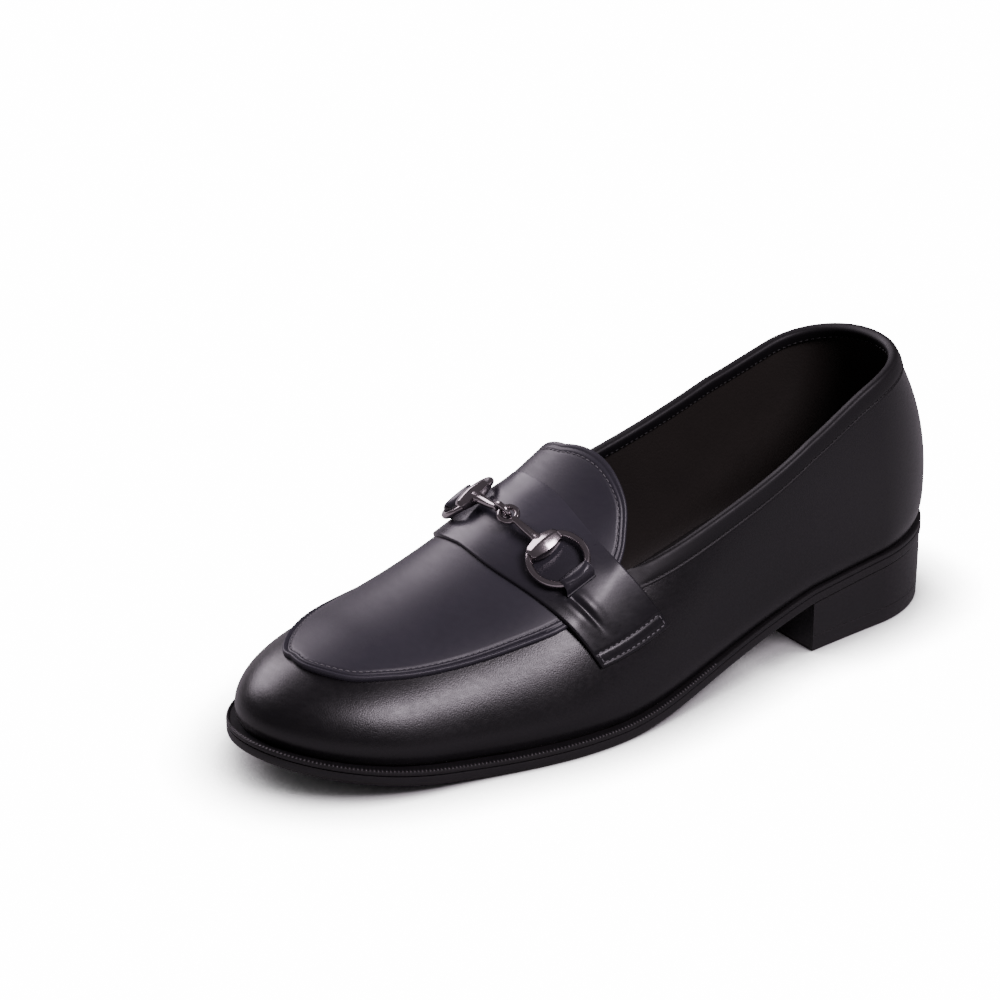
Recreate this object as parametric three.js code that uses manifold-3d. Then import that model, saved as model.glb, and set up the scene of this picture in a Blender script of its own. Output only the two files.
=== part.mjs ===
import * as THREE from 'three';
import { mergeVertices } from 'three/addons/utils/BufferGeometryUtils.js';
import Module from 'manifold-3d';

// A left loafer with a metal bit, in millimetres.
// X runs from heel to toe, Y to the outer side of the foot, Z up.

// Last and sole
const lastLength = 300;
const ballWidth = 104;
const instepHeight = 72.5;
const collarHeight = 70.3;
const heelHeight = 27;
const heelDrop = 7;
const heelLength = 75;
const heelTaper = 1.3;
const toeSpring = 13;
const toeShift = 4.5;
const outsoleThickness = 3.5;
const weltThickness = 1.6;
const insoleThickness = 4.1;
const soleChamfer = 0.5;
const soleReach = 2.4;
const clearance = 0.3;

// Upper
const wall = 2.0;
const featherTuck = 2.5;
const tuckHeight = 12;
const heelLean = 12.5;
const leanStart = 20;
const leanRun = 45;
const heelTuck = 2.3;
const heelTuckHeight = 22;
const weltLedge = 1.0;

// Pieces laid on the upper
const apronThickness = 1.2;
const beadHeight = 0.8;
const beadDelay = 2;
const beadRise = 8;
const strapThickness = 1.4;
const bindingThickness = 0.8;
const bindingHeight = 7;
const bindingInside = 4;
const rimRound = 0.8;
const backStayThickness = 0.9;
const backStayHeight = 30;
const backStayTop = 8;
const backStayFoot = 4.5;

// Metal bit and the leather loops that hold it
const ringDiameter = 23.5;
const wireDiameter = 2.6;
const eyeDiameter = 8.6;
const eyeWire = 2.2;
const barThick = 4.2;
const barThin = 2.8;
const beadLength = 14.6;
const beadBreadth = 8.6;
const beadDepth = 6.6;
const beadPlace = 7.3;
const beadLift = 0.7;
const jointLift = 8.2;
const jointTurn = 0.111;
const ringLift = 5.5;
const ringTurns = { outer: 0.374, inner: 0.22 };
const ringOpening = 70;
const loopThickness = 0.9;
const loopAngle = 66;

// How finely the curved pieces are divided
const backStations = 18;
const throatStations = 5;
const frontStations = 17;
const wallStations = 12;
const soleStations = 44;
const heelStations = 20;
const apronStations = 28;
const traceStations = 120;
const bindingStations = 23;
const ringStations = 24;
const wireStations = 6;

const { clamp, lerp, smoothstep, degToRad } = THREE.MathUtils;
const quarter = Math.PI / 2;

function table(columns, rows) {
  return Object.fromEntries(columns.map((name, k) => [name, rows.map((row) => row[k])]));
}

// Lengths along the shoe are shares of lastLength, the half widths and the ridge's lean are
// shares of ballWidth, and the ridge is a share of instepHeight. A positive narrow thins the top.
const sections = table(['at', 'outer', 'inner', 'ridge', 'narrow', 'lean'], [
  [0.00, 0.332, 0.337, 1.986, 0.02, 0.000],
  [0.12, 0.356, 0.341, 1.945, 0.02, 0.000],
  [0.27, 0.402, 0.304, 1.710, 0.06, 0.000],
  [0.42, 0.465, 0.293, 1.359, 0.07, -0.029],
  [0.55, 0.540, 0.399, 1.000, 0.03, -0.077],
  [0.65, 0.545, 0.461, 0.776, 0.02, -0.067],
  [0.78, 0.468, 0.481, 0.579, 0.00, -0.038],
  [0.90, 0.417, 0.436, 0.452, -0.05, -0.014],
  [1.00, 0.385, 0.361, 0.441, -0.12, 0.000],
]);

// Collar heights as shares of collarHeight
const collar = table(['at', 'outer', 'inner'], [
  [0.00, 1.000, 1.000],
  [0.12, 0.974, 0.939],
  [0.27, 0.789, 0.875],
  [0.40, 0.723, 0.875],
  [0.54, 0.690, 0.811],
]);

// How far the sole's edge stands outside the last, as shares of soleReach
const soleEdge = table(['at', 'reach'], [
  [0.00, -0.333],
  [0.15, -0.333],
  [0.35, -0.125],
  [0.50, 0.333],
  [0.65, 0.917],
  [1.00, 1.000],
]);

// Outline of the apron and its tongue, from the tongue's end to the toe. Turns are shares of the
// quarter turn from the ridge down to the feather edge, and spine is the place on the ridge.
const apronRows = table(['spine', 'outerEdge', 'outer', 'innerEdge', 'inner'], [
  [0.511, 0.511, 0.000, 0.511, 0.000],
  [0.517, 0.502, 0.110, 0.5125, 0.100],
  [0.533, 0.4955, 0.230, 0.513, 0.205],
  [0.550, 0.496, 0.335, 0.515, 0.305],
  [0.567, 0.502, 0.410, 0.519, 0.385],
  [0.580, 0.515, 0.465, 0.527, 0.445],
  [0.593, 0.533, 0.515, 0.541, 0.495],
  [0.613, 0.573, 0.556, 0.576, 0.548],
  [0.647, 0.629, 0.574, 0.629, 0.570],
  [0.693, 0.689, 0.553, 0.689, 0.545],
  [0.747, 0.753, 0.527, 0.753, 0.505],
  [0.800, 0.814, 0.483, 0.814, 0.430],
  [0.847, 0.870, 0.414, 0.870, 0.320],
  [0.877, 0.902, 0.331, 0.902, 0.235],
  [0.904, 0.9255, 0.160, 0.9255, 0.115],
  [0.928, 0.928, 0.000, 0.928, 0.000],
]);

// Edges of the strap from the ridge to its end, as shares of lastLength
const strapRows = table(['front', 'rear'], [
  [0.670, 0.558],
  [0.668, 0.554],
  [0.651, 0.549],
  [0.627, 0.528],
  [0.603, 0.497],
]);
const strapFrontTurn = 0.763;
const strapRearTurn = 0.788;
const strapSteps = [0, 0.1, 0.2, 0.3, 0.4, 0.5, 0.58, 0.65, 0.7, 0.75, 0.8, 0.86, 0.93, 1];

// Places along the shoe, as shares of lastLength
const heelRound = 0.13;
const toeRound = 0.185;
const toeDrop = 0.155;
const shiftStart = 0.55;
const flatStart = 0.59;
const flatEnd = 0.70;
const leanFade = 0.35;
const collarEnd = 0.533;
const throat = 0.607;
const bindingEnd = 0.498;

// Smooth curve through the rows of a table, straight at both ends
function curve(places, values) {
  const n = places.length;
  const step = places.slice(1).map((p, k) => p - places[k]);
  const bend = new Array(n).fill(0);
  const lower = new Array(n).fill(0);
  const right = new Array(n).fill(0);
  for (let k = 1; k < n - 1; k++) {
    const jump = (values[k + 1] - values[k]) / step[k] - (values[k] - values[k - 1]) / step[k - 1];
    const pivot = 2 * (step[k - 1] + step[k]) - step[k - 1] * lower[k - 1];
    lower[k] = step[k] / pivot;
    right[k] = (6 * jump - step[k - 1] * right[k - 1]) / pivot;
  }
  for (let k = n - 2; k > 0; k--) bend[k] = right[k] - lower[k] * bend[k + 1];
  return (place) => {
    let k = 0;
    while (k < n - 2 && place > places[k + 1]) k++;
    const a = (places[k + 1] - place) / step[k];
    const b = 1 - a;
    const sag = ((a ** 3 - a) * bend[k] + (b ** 3 - b) * bend[k + 1]) * step[k] ** 2 / 6;
    return a * values[k] + b * values[k + 1] + sag;
  };
}

const outerHalf = curve(sections.at, sections.outer);
const innerHalf = curve(sections.at, sections.inner);
const ridgeShare = curve(sections.at, sections.ridge);
const narrowShare = curve(sections.at, sections.narrow);
const leanShare = curve(sections.at, sections.lean);
const outerCollar = curve(collar.at, collar.outer);
const innerCollar = curve(collar.at, collar.inner);
const edgeReach = curve(soleEdge.at, soleEdge.reach.map((share) => share * soleReach));

// A quarter ellipse that falls from 1 to 0 over the last stretch of a run
function roundOff(distance, stretch) {
  const v = clamp(1 - distance / stretch, 0, 1);
  return Math.sqrt(Math.max(1 - v * v, 0));
}

function endRound(x) {
  return roundOff(x, heelRound * lastLength) * roundOff(lastLength - x, toeRound * lastLength);
}

// Middle line of the last, which bends to the outer side at the toe
function middleY(x) {
  return toeShift * clamp((x / lastLength - shiftStart) / (1 - shiftStart), 0, 1) ** 2;
}

function lastEdge(x, side) {
  const half = side > 0 ? outerHalf(x / lastLength) : innerHalf(x / lastLength);
  return middleY(x) + side * half * ballWidth * endRound(x);
}

// Direction straight out of the last's outline in plan
function planNormal(x, side) {
  const e = 0.3;
  if (x < 1e-6) return new THREE.Vector2(-1, 0);
  if (x > lastLength - 1e-6) return new THREE.Vector2(1, 0);
  const from = Math.max(x - e, 1e-6);
  const to = Math.min(x + e, lastLength - 1e-6);
  const slope = (lastEdge(to, side) - lastEdge(from, side)) / (to - from);
  return new THREE.Vector2(-slope * side, side).normalize();
}

// Underside of the outsole: heel seat, arch, flat tread and toe spring
function underside(x) {
  const breast = heelHeight - heelDrop;
  const pitch = heelDrop / heelLength;
  const treadStart = flatStart * lastLength;
  const treadEnd = flatEnd * lastLength;
  if (x < heelLength) return heelHeight - pitch * x;
  if (x < treadStart) {
    const run = treadStart - heelLength;
    const s = (x - heelLength) / run;
    const drop = 2 * s ** 3 - 3 * s ** 2 + 1;
    const slope = s ** 3 - 2 * s ** 2 + s;
    return drop * breast - slope * 2 * pitch * run;
  }
  const s = Math.max(x - treadEnd, 0) / (lastLength - treadEnd);
  return toeSpring * s * s;
}

const outsoleTop = outsoleThickness;
const weltBottom = outsoleTop + clearance;
const weltTop = weltBottom + weltThickness;
const seatLevel = weltTop + clearance;

function seat(x) {
  return underside(x) + seatLevel;
}

function stationX(t) {
  return lastLength * (1 - Math.cos(Math.PI * t)) / 2;
}

function stationT(x) {
  return Math.acos(1 - 2 * clamp(x / lastLength, 0, 1)) / Math.PI;
}

function ridgeHeight(x) {
  return ridgeShare(x / lastLength) * instepHeight * roundOff(lastLength - x, toeDrop * lastLength);
}

// Point of the last at station t. The angle runs from 0 at the outer feather edge, over the ridge
// at a quarter turn, to half a turn at the inner feather edge.
function last(t, angle) {
  const x = stationX(t);
  const ends = endRound(x);
  const ridgeY = middleY(x) + leanShare(x / lastLength) * ballWidth * ends;
  const outer = lastEdge(x, 1) - ridgeY;
  const inner = ridgeY - lastEdge(x, -1);
  const c = Math.cos(angle);
  const rise = ridgeHeight(x) * Math.sin(angle);
  const sideways = c * (1.5 - 0.5 * c * c);
  const half = (outer + inner) / 2 + (outer - inner) / 2 * sideways;
  const thin = 1 - narrowShare(x / lastLength) * (1 - c * c);
  const back = heelTuck * clamp(1 - rise / heelTuckHeight, 0, 1) ** 2
    + heelLean * (Math.max(rise - leanStart, 0) / leanRun) ** 2;
  const fade = clamp(1 - x / (leanFade * lastLength), 0, 1) ** 2;
  const tuck = featherTuck * clamp(1 - rise / tuckHeight, 0, 1) ** 3;
  const out = planNormal(x, 1).multiplyScalar((1 + c) / 2)
    .add(planNormal(x, -1).multiplyScalar((1 - c) / 2));
  const px = x + back * fade - out.x * tuck;
  const py = ridgeY + c * half * thin - out.y * tuck;
  return new THREE.Vector3(px, py, seat(px) + rise);
}

function lastNormal(t, angle) {
  const e = 1e-3;
  const tc = clamp(t, e, 1 - e);
  const ac = clamp(angle, e, Math.PI - e);
  const along = last(tc + e, ac).sub(last(tc - e, ac));
  const around = last(tc, ac + e).sub(last(tc, ac - e));
  const normal = around.cross(along).normalize();
  if (t < e) normal.setY(0).normalize();
  return normal;
}

// Point at a height over the last's surface
function skin(t, angle, height) {
  return last(t, angle).addScaledVector(lastNormal(t, angle), height);
}

// Angle for a turn from the ridge, on the outer side for 1 and the inner side for -1
function turned(turn, side) {
  return quarter - side * turn * quarter;
}

function collarAngle(x, side) {
  const share = side > 0 ? outerCollar(x / lastLength) : innerCollar(x / lastLength);
  const flat = Math.asin(clamp(share * collarHeight / ridgeHeight(x), 0, 0.999));
  const start = collarEnd * lastLength;
  const end = throat * lastLength;
  if (x <= start) return flat;
  const startAngle = collarAngle(start, side);
  return quarter - (quarter - startAngle) * Math.sqrt(1 - clamp((x - start) / (end - start), 0, 1) ** 2);
}

// Triangles gathered into one closed body
class Body {
  constructor() {
    this.points = [];
  }

  triangle(a, b, c) {
    this.points.push(a, b, c);
  }

  quad(a, b, c, d) {
    this.triangle(a, b, c);
    this.triangle(a, c, d);
  }

  sheet(grid, flip = false) {
    for (let i = 0; i + 1 < grid.length; i++) {
      for (let j = 0; j + 1 < grid[i].length; j++) {
        const corners = [grid[i][j], grid[i + 1][j], grid[i + 1][j + 1], grid[i][j + 1]];
        if (flip) corners.reverse();
        this.quad(...corners);
      }
    }
  }

  geometry() {
    const loose = new THREE.BufferGeometry().setFromPoints(this.points);
    const merged = mergeVertices(loose, 1e-4);
    const index = merged.getIndex().array;
    const kept = [];
    for (let k = 0; k < index.length; k += 3) {
      const [a, b, c] = [index[k], index[k + 1], index[k + 2]];
      if (a !== b && b !== c && c !== a) kept.push(a, b, c);
    }
    merged.setIndex(kept);
    return merged;
  }
}

// Closed plate between two grids of the same size, the first on top
function plate(top, bottom) {
  const body = new Body();
  body.sheet(top, true);
  body.sheet(bottom);
  const lastRow = top.length - 1;
  const lastColumn = top[0].length - 1;
  for (let i = 0; i < lastRow; i++) {
    body.quad(top[i][0], top[i + 1][0], bottom[i + 1][0], bottom[i][0]);
    body.quad(top[i + 1][lastColumn], top[i][lastColumn], bottom[i][lastColumn], bottom[i + 1][lastColumn]);
  }
  for (let j = 0; j < lastColumn; j++) {
    body.quad(top[0][j + 1], top[0][j], bottom[0][j], bottom[0][j + 1]);
    body.quad(top[lastRow][j], top[lastRow][j + 1], bottom[lastRow][j + 1], bottom[lastRow][j]);
  }
  return body.geometry();
}

// Bar with the same closed section at every station, its ends shut by fans
function sweep(stations, ringShaped = false) {
  const body = new Body();
  const count = stations.length;
  const around = stations[0].length;
  for (let i = 0; i < (ringShaped ? count : count - 1); i++) {
    const here = stations[i];
    const next = stations[(i + 1) % count];
    for (let j = 0; j < around; j++) {
      const k = (j + 1) % around;
      body.quad(here[j], next[j], next[k], here[k]);
    }
  }
  if (!ringShaped) {
    const first = stations[0];
    const end = stations[count - 1];
    for (let j = 1; j + 1 < around; j++) {
      body.triangle(first[0], first[j], first[j + 1]);
      body.triangle(end[0], end[j + 1], end[j]);
    }
  }
  return body.geometry();
}

// Even places from one value to another
function spread(count, from = 0, to = 1) {
  return Array.from({ length: count + 1 }, (_, k) => lerp(from, to, k / count));
}

const collarT = stationT(collarEnd * lastLength);
const throatT = stationT(throat * lastLength);
const openStations = [
  ...spread(backStations, 0, collarT),
  ...spread(throatStations, 0, quarter).slice(1).map((a) => {
    return stationT(lerp(collarEnd, throat, Math.sin(a)) * lastLength);
  }),
];
const closedStations = spread(frontStations, throatT, 1).slice(1);
const upperStations = [...openStations, ...closedStations];

function topAngle(t) {
  return (side) => (t < throatT - 1e-6 ? collarAngle(stationX(t), side) : quarter);
}

// Rows close up towards the feather edge, where the upper tucks in
function rowShare(j) {
  const s = j / wallStations;
  return lerp(s, s * s, 0.35);
}

function upperGrid(side, inset) {
  return upperStations.map((t) => {
    const top = topAngle(t)(side);
    return spread(wallStations).map((_, j) => {
      const lift = top * rowShare(j);
      const angle = side > 0 ? lift : Math.PI - lift;
      if (!inset) return last(t, angle);
      const mirrored = t < 1e-6 ? lift : angle;
      if (j > 0 && t < 1) return skin(t, mirrored, -inset);
      const foot = last(t, angle);
      const out = planNormal(stationX(t), side);
      const x = foot.x - out.x * inset;
      return new THREE.Vector3(x, foot.y - out.y * inset, seat(x));
    });
  });
}

// One hollow shell, open at the collar and throat and underneath
function upper() {
  const body = new Body();
  for (const side of [1, -1]) {
    const outside = upperGrid(side, 0);
    const inside = upperGrid(side, wall);
    body.sheet(outside, side > 0);
    body.sheet(inside, side < 0);
    for (let i = 0; i + 1 < upperStations.length; i++) {
      const foot = [outside[i][0], inside[i][0], inside[i + 1][0], outside[i + 1][0]];
      if (side > 0) foot.reverse();
      body.quad(...foot);
      if (i + 1 < openStations.length) {
        const rim = [outside[i], outside[i + 1], inside[i + 1], inside[i]].map((row) => row[wallStations]);
        if (side > 0) rim.reverse();
        body.quad(...rim);
      }
    }
  }
  return body.geometry();
}

// Plan points of an outline set in from the sole's edge, outer side first and then inner side
function outline(stations, inset) {
  return [1, -1].map((side) => stations.map((t) => {
    const x = stationX(t);
    const out = planNormal(x, side).multiplyScalar(edgeReach(x / lastLength) - inset);
    return new THREE.Vector2(x + out.x, lastEdge(x, side) + out.y);
  }));
}

// Plan points set in from the feather edge
function featherOutline(stations, inset) {
  return [1, -1].map((side) => stations.map((t) => {
    const x = stationX(t);
    const foot = last(t, side > 0 ? 0 : Math.PI);
    const out = planNormal(x, side).multiplyScalar(-inset);
    return new THREE.Vector2(foot.x + out.x, foot.y + out.y);
  }));
}

function atLevel(points, level) {
  return points.map((p) => new THREE.Vector3(p.x, p.y, underside(p.x) + level));
}

// Layer that closes from side to side, as a stack of rings from its bottom to its top
function layer(rings) {
  const body = new Body();
  const count = rings[0][0].length;
  const shut = ([outer, inner], flip) => body.sheet([outer, inner], flip);
  shut(rings[0], true);
  shut(rings[rings.length - 1], false);
  for (let k = 0; k + 1 < rings.length; k++) {
    for (const side of [0, 1]) {
      const low = rings[k][side];
      const high = rings[k + 1][side];
      body.sheet([low, high], side === 1);
    }
  }
  const open = rings[0][0][count - 1].distanceTo(rings[0][1][count - 1]) > 1e-3;
  if (open) {
    for (let k = 0; k + 1 < rings.length; k++) {
      body.quad(
        rings[k][0][count - 1], rings[k + 1][0][count - 1],
        rings[k + 1][1][count - 1], rings[k][1][count - 1],
      );
    }
  }
  return body.geometry();
}

const soleRun = spread(soleStations);

function outsole() {
  const ring = (inset, level) => outline(soleRun, inset).map((points) => atLevel(points, level));
  return layer([
    ring(soleChamfer, 0),
    ring(0, soleChamfer),
    ring(0, outsoleTop),
  ]);
}

function welt() {
  const edges = outline(soleRun, 0);
  const holes = featherOutline(soleRun, wall + weltLedge);
  const station = (side, k) => {
    const rim = edges[side][k];
    const hole = holes[side][k];
    return [
      ...atLevel([rim], weltTop), ...atLevel([rim], weltBottom),
      ...atLevel([hole], weltBottom), ...atLevel([hole], weltTop),
    ];
  };
  const end = soleRun.length - 1;
  const loop = [];
  for (let k = 0; k <= end; k++) loop.push(station(0, k));
  for (let k = end - 1; k > 0; k--) loop.push(station(1, k));
  return sweep(loop, true);
}

function insole() {
  const inset = wall + weltLedge + clearance;
  const ring = (level) => featherOutline(soleRun, inset).map((points) => atLevel(points, level));
  return layer([ring(weltBottom), ring(weltBottom + insoleThickness)]);
}

// Block under the back of the outsole, cut straight at its breast
function heel() {
  const stations = spread(heelStations, 0, stationT(heelLength));
  const ring = (inset, level) => outline(stations, inset).map((points) => {
    return points.map((p, k) => {
      const x = k === stations.length - 1 ? heelLength : Math.min(p.x, heelLength);
      return new THREE.Vector3(x, p.y, level(x));
    });
  });
  return layer([
    ring(heelTaper + soleChamfer, () => 0),
    ring(heelTaper, () => soleChamfer),
    ring(soleChamfer, (x) => underside(x) - clearance),
  ]);
}

const rearmostRow = 2;
const lastApronRow = apronRows.spine.length - 1;
const apronPlaces = apronRows.spine.map((_, k) => k);
const apronSpine = curve(apronPlaces, apronRows.spine);
const apronSides = {
  1: { edge: apronRows.outerEdge, reach: apronRows.outer },
  [-1]: { edge: apronRows.innerEdge, reach: apronRows.inner },
};
for (const rows of Object.values(apronSides)) {
  rows.edgeAt = curve(apronPlaces, rows.edge);
  rows.reachAt = curve(apronPlaces, rows.reach);
  rows.trace = spread(traceStations, rearmostRow, lastApronRow).map((u) => {
    return { x: rows.edgeAt(u) * lastLength, turn: rows.reachAt(u) };
  });
}

// How far down the apron reaches at a place along the shoe, in front of the tongue's rearmost point
function apronTurn(x, side) {
  const { trace } = apronSides[side];
  let k = 0;
  while (k < trace.length - 2 && x > trace[k + 1].x) k++;
  const share = (x - trace[k].x) / (trace[k + 1].x - trace[k].x);
  return lerp(trace[k].turn, trace[k + 1].turn, clamp(share, 0, 1));
}

const apronBase = clearance;
const apronTop = apronBase + apronThickness;

// Apron and tongue in one piece, with a rounded bead along the lip on the forepart
function apron() {
  const across = [0, 0.14, 0.28, 0.42, 0.56, 0.7, 0.8, 0.87, 0.93, 0.965, 1];
  const half = across.slice(1);
  const sides = [...half.toReversed().map((v) => [1, v]), [1, 0], ...half.map((v) => [-1, v])];
  const beadStart = strapRows.front[3] * lastLength + beadDelay;
  const rows = spread(apronStations, 0, lastApronRow);
  const grid = (underneath) => rows.map((u) => sides.map(([side, v]) => {
    const { edgeAt, reachAt } = apronSides[side];
    const x = lerp(apronSpine(u), edgeAt(u), v) * lastLength;
    const turn = Math.max(reachAt(u) * v, 0);
    if (underneath) return skin(stationT(x), turned(turn, side), apronBase);
    const lip = smoothstep(x, beadStart, beadStart + beadRise);
    const crest = smoothstep(v, 0.84, 0.93) * (1 - 0.6 * smoothstep(v, 0.96, 1));
    return skin(stationT(x), turned(turn, side), apronTop + beadHeight * lip * crest);
  }));
  return plate(grid(false), grid(true));
}

const strapFront = curve(spread(4), strapRows.front);
const strapRear = curve(spread(4), strapRows.rear);

// Height of the strap's underside: over the apron in the middle, down on the upper at its ends
function strapBase(x, turn, side) {
  const beyond = turn - apronTurn(x, side);
  return lerp(apronTop + clearance, clearance, smoothstep(beyond, 0.012, 0.1));
}

function strapPlace(v, w, side) {
  const x = lerp(strapRear(v), strapFront(v), w) * lastLength;
  const turn = v * lerp(strapRearTurn, strapFrontTurn, w);
  return { t: stationT(x), angle: turned(turn, side), base: strapBase(x, turn, side) };
}

function strap() {
  const steps = [...strapSteps.slice(1).reverse().map((v) => [1, v]), ...strapSteps.map((v) => [-1, v])];
  const grid = (height) => spread(5).map((w) => steps.map(([side, v]) => {
    const place = strapPlace(v, w, side);
    return skin(place.t, place.angle, place.base + height);
  }));
  return plate(grid(strapThickness), grid(0));
}

// Rolled leather edge of the collar, from one side of the strap round the heel to the other
function binding() {
  const end = stationT(bindingEnd * lastLength);
  const stations = [
    ...spread(bindingStations, end, 0).map((t) => [t, 1]),
    ...spread(bindingStations, 0, end).slice(1).map((t) => [t, -1]),
  ];
  const near = clearance;
  const far = clearance + bindingThickness;
  const profile = [
    [bindingHeight, near], [bindingHeight, far], [rimRound, far], [-far, -wall / 2],
    [rimRound, -wall - far], [bindingInside, -wall - far],
    [bindingInside, -wall - near], [-near, -wall - near], [-near, near],
  ];
  return sweep(stations.map(([t, side]) => {
    const x = stationX(t);
    const top = collarAngle(x, side);
    const perTurn = last(t, top + 0.01).distanceTo(last(t, top - 0.01)) / 0.02;
    return profile.map(([depth, height]) => {
      const lift = top - depth / perTurn;
      const angle = side > 0 || t < 1e-6 ? lift : Math.PI - lift;
      return skin(t, angle, height);
    });
  }));
}

// Tapered strip over the seam at the back of the heel, below the binding
function backStay() {
  const top = collarAngle(0, 1);
  const perTurn = last(0, top).distanceTo(last(0, top - 0.1)) / 0.1;
  const perStation = last(0.01, top / 2).distanceTo(last(0, top / 2)) / 0.01;
  const rows = spread(8);
  const columns = spread(6, -1, 1);
  const grid = (height) => rows.map((r) => columns.map((c) => {
    const depth = bindingHeight + clearance + r * (backStayHeight - bindingHeight);
    const half = lerp(backStayTop, backStayFoot, r) * (r === 1 ? 0.75 : 1);
    const t = Math.abs(c) * half / perStation;
    const lift = top - depth / perTurn;
    return skin(t, c > 0 ? lift : (t < 1e-6 ? lift : Math.PI - lift), height);
  }));
  return plate(grid(clearance + backStayThickness), grid(clearance));
}

const ringRadius = (ringDiameter - wireDiameter) / 2;

const wasm = await Module();
wasm.setup();

function toManifold(geometry) {
  const bare = geometry.clone();
  for (const name of ['normal', 'uv']) bare.deleteAttribute(name);
  const merged = mergeVertices(bare, 1e-5);
  return new wasm.Manifold(new wasm.Mesh({
    numProp: 3,
    vertProperties: Float32Array.from(merged.attributes.position.array),
    triVerts: Uint32Array.from(merged.index.array),
  }));
}

function fromManifold(solid) {
  const mesh = solid.getMesh();
  const geometry = new THREE.BufferGeometry();
  geometry.setAttribute('position', new THREE.BufferAttribute(mesh.vertProperties, 3));
  geometry.setIndex(new THREE.BufferAttribute(mesh.triVerts, 1));
  return geometry;
}

// Part of a direction that lies square to another
function squareTo(direction, axis) {
  return direction.clone().addScaledVector(axis, -direction.dot(axis)).normalize();
}

// One half of the bit: the ring lies flat on the strap, and the bar runs from the bead that closes
// the ring up to the joint. Joint and ring lie on the strap's middle line.
function bitFrame(side) {
  const onStrap = (turn, half) => {
    const v = turn / lerp(strapRearTurn, strapFrontTurn, 0.5);
    return { t: stationT(lerp(strapRear(v), strapFront(v), 0.5) * lastLength), angle: turned(turn, half) };
  };
  const middle = onStrap(jointTurn, 1);
  const place = onStrap(side > 0 ? ringTurns.outer : ringTurns.inner, side);
  const joint = skin(middle.t, middle.angle, jointLift);
  const ring = skin(place.t, place.angle, ringLift);
  const out = lastNormal(place.t, place.angle);
  const inward = squareTo(joint.clone().sub(ring), out);
  const bead = ring.clone().addScaledVector(inward, beadPlace).addScaledVector(out, beadLift);
  const axis = joint.clone().sub(bead).normalize();
  return { joint, ring, out, inward, bead, axis, face: squareTo(out, axis) };
}

// Round wire along an arc of the ring, as closed sections from one angle to another
function wireArc(frame, fromDegrees, toDegrees, count, sides) {
  const { ring, out, inward } = frame;
  const cross = out.clone().cross(inward);
  return spread(count, degToRad(fromDegrees), degToRad(toDegrees)).map((a) => {
    const radial = inward.clone().multiplyScalar(Math.cos(a)).addScaledVector(cross, Math.sin(a));
    const centre = ring.clone().addScaledVector(radial, ringRadius);
    return (radius) => spread(sides, 0, 2 * Math.PI).slice(0, sides).map((b) => {
      const away = radial.clone().multiplyScalar(Math.cos(b)).addScaledVector(out, Math.sin(b));
      return centre.clone().addScaledVector(away, radius);
    });
  });
}

// Geometry built with its own Z out of the ring's plane and X along the axis to the joint
function placed(geometry, centre, axis, out) {
  const cross = out.clone().cross(axis);
  const turn = new THREE.Matrix4().makeBasis(axis, cross, out).setPosition(centre);
  return geometry.applyMatrix4(turn);
}

function halfBit(side) {
  const frame = bitFrame(side);
  const { joint, inward, bead, axis, face } = frame;
  const eyeRadius = (eyeDiameter - eyeWire) / 2;
  const eyeCentre = joint.clone().addScaledVector(axis, -eyeRadius / 2);
  const eyeFace = side > 0 ? face : face.clone().cross(axis);
  const barLength = eyeCentre.distanceTo(bead) - eyeRadius;
  const bar = new THREE.CylinderGeometry(barThin / 2, barThick / 2, barLength, 10);
  bar.rotateZ(-quarter).translate(barLength / 2, 0, 0);
  const barrel = new THREE.SphereGeometry(0.5, 14, 8).rotateZ(quarter);
  barrel.scale(beadBreadth, beadLength, beadDepth);
  const open = ringOpening / 2;
  const wire = wireArc(frame, open, 360 - open, ringStations, wireStations);
  const pieces = [
    sweep(wire.map((round) => round(wireDiameter / 2))),
    placed(barrel, bead, axis, face),
    placed(bar, bead, axis, face),
    placed(new THREE.TorusGeometry(eyeRadius, eyeWire / 2, 6, 16), eyeCentre, axis, eyeFace),
  ];
  return fromManifold(pieces.map(toManifold).reduce((whole, piece) => whole.add(piece)));
}

// Leather loop round the far arc of a ring
function ringLoop(side) {
  const inner = wireDiameter / 2 + clearance;
  const section = 8;
  const arc = wireArc(bitFrame(side), 180 - loopAngle / 2, 180 + loopAngle / 2, 7, section);
  const stations = arc.map((round) => {
    return { outside: round(inner + loopThickness), inside: round(inner) };
  });
  const body = new Body();
  for (let i = 0; i + 1 < stations.length; i++) {
    for (let j = 0; j < section; j++) {
      const k = (j + 1) % section;
      const a = stations[i];
      const b = stations[i + 1];
      body.quad(a.outside[j], b.outside[j], b.outside[k], a.outside[k]);
      body.quad(a.inside[k], b.inside[k], b.inside[j], a.inside[j]);
    }
  }
  for (const [end, flip] of [[stations[0], false], [stations[stations.length - 1], true]]) {
    for (let j = 0; j < section; j++) {
      const k = (j + 1) % section;
      const face = [end.outside[j], end.outside[k], end.inside[k], end.inside[j]];
      if (flip) face.reverse();
      body.quad(...face);
    }
  }
  return body.geometry();
}

const calf = new THREE.MeshStandardMaterial({ color: 0x17171b, roughness: 0.38, metalness: 0 });
const polishedCalf = new THREE.MeshStandardMaterial({ color: 0x141418, roughness: 0.28, metalness: 0 });
const soleLeather = new THREE.MeshStandardMaterial({ color: 0x121213, roughness: 0.55, metalness: 0 });
const heelRubber = new THREE.MeshStandardMaterial({ color: 0x111112, roughness: 0.7, metalness: 0 });
const lining = new THREE.MeshStandardMaterial({ color: 0x1c1a19, roughness: 0.6, metalness: 0 });
const gunmetal = new THREE.MeshStandardMaterial({ color: 0x6d6664, roughness: 0.25, metalness: 1 });

const shoe = new THREE.Group();

function add(name, geometry, material) {
  const mesh = new THREE.Mesh(geometry, material);
  mesh.name = name;
  shoe.add(mesh);
}

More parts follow.
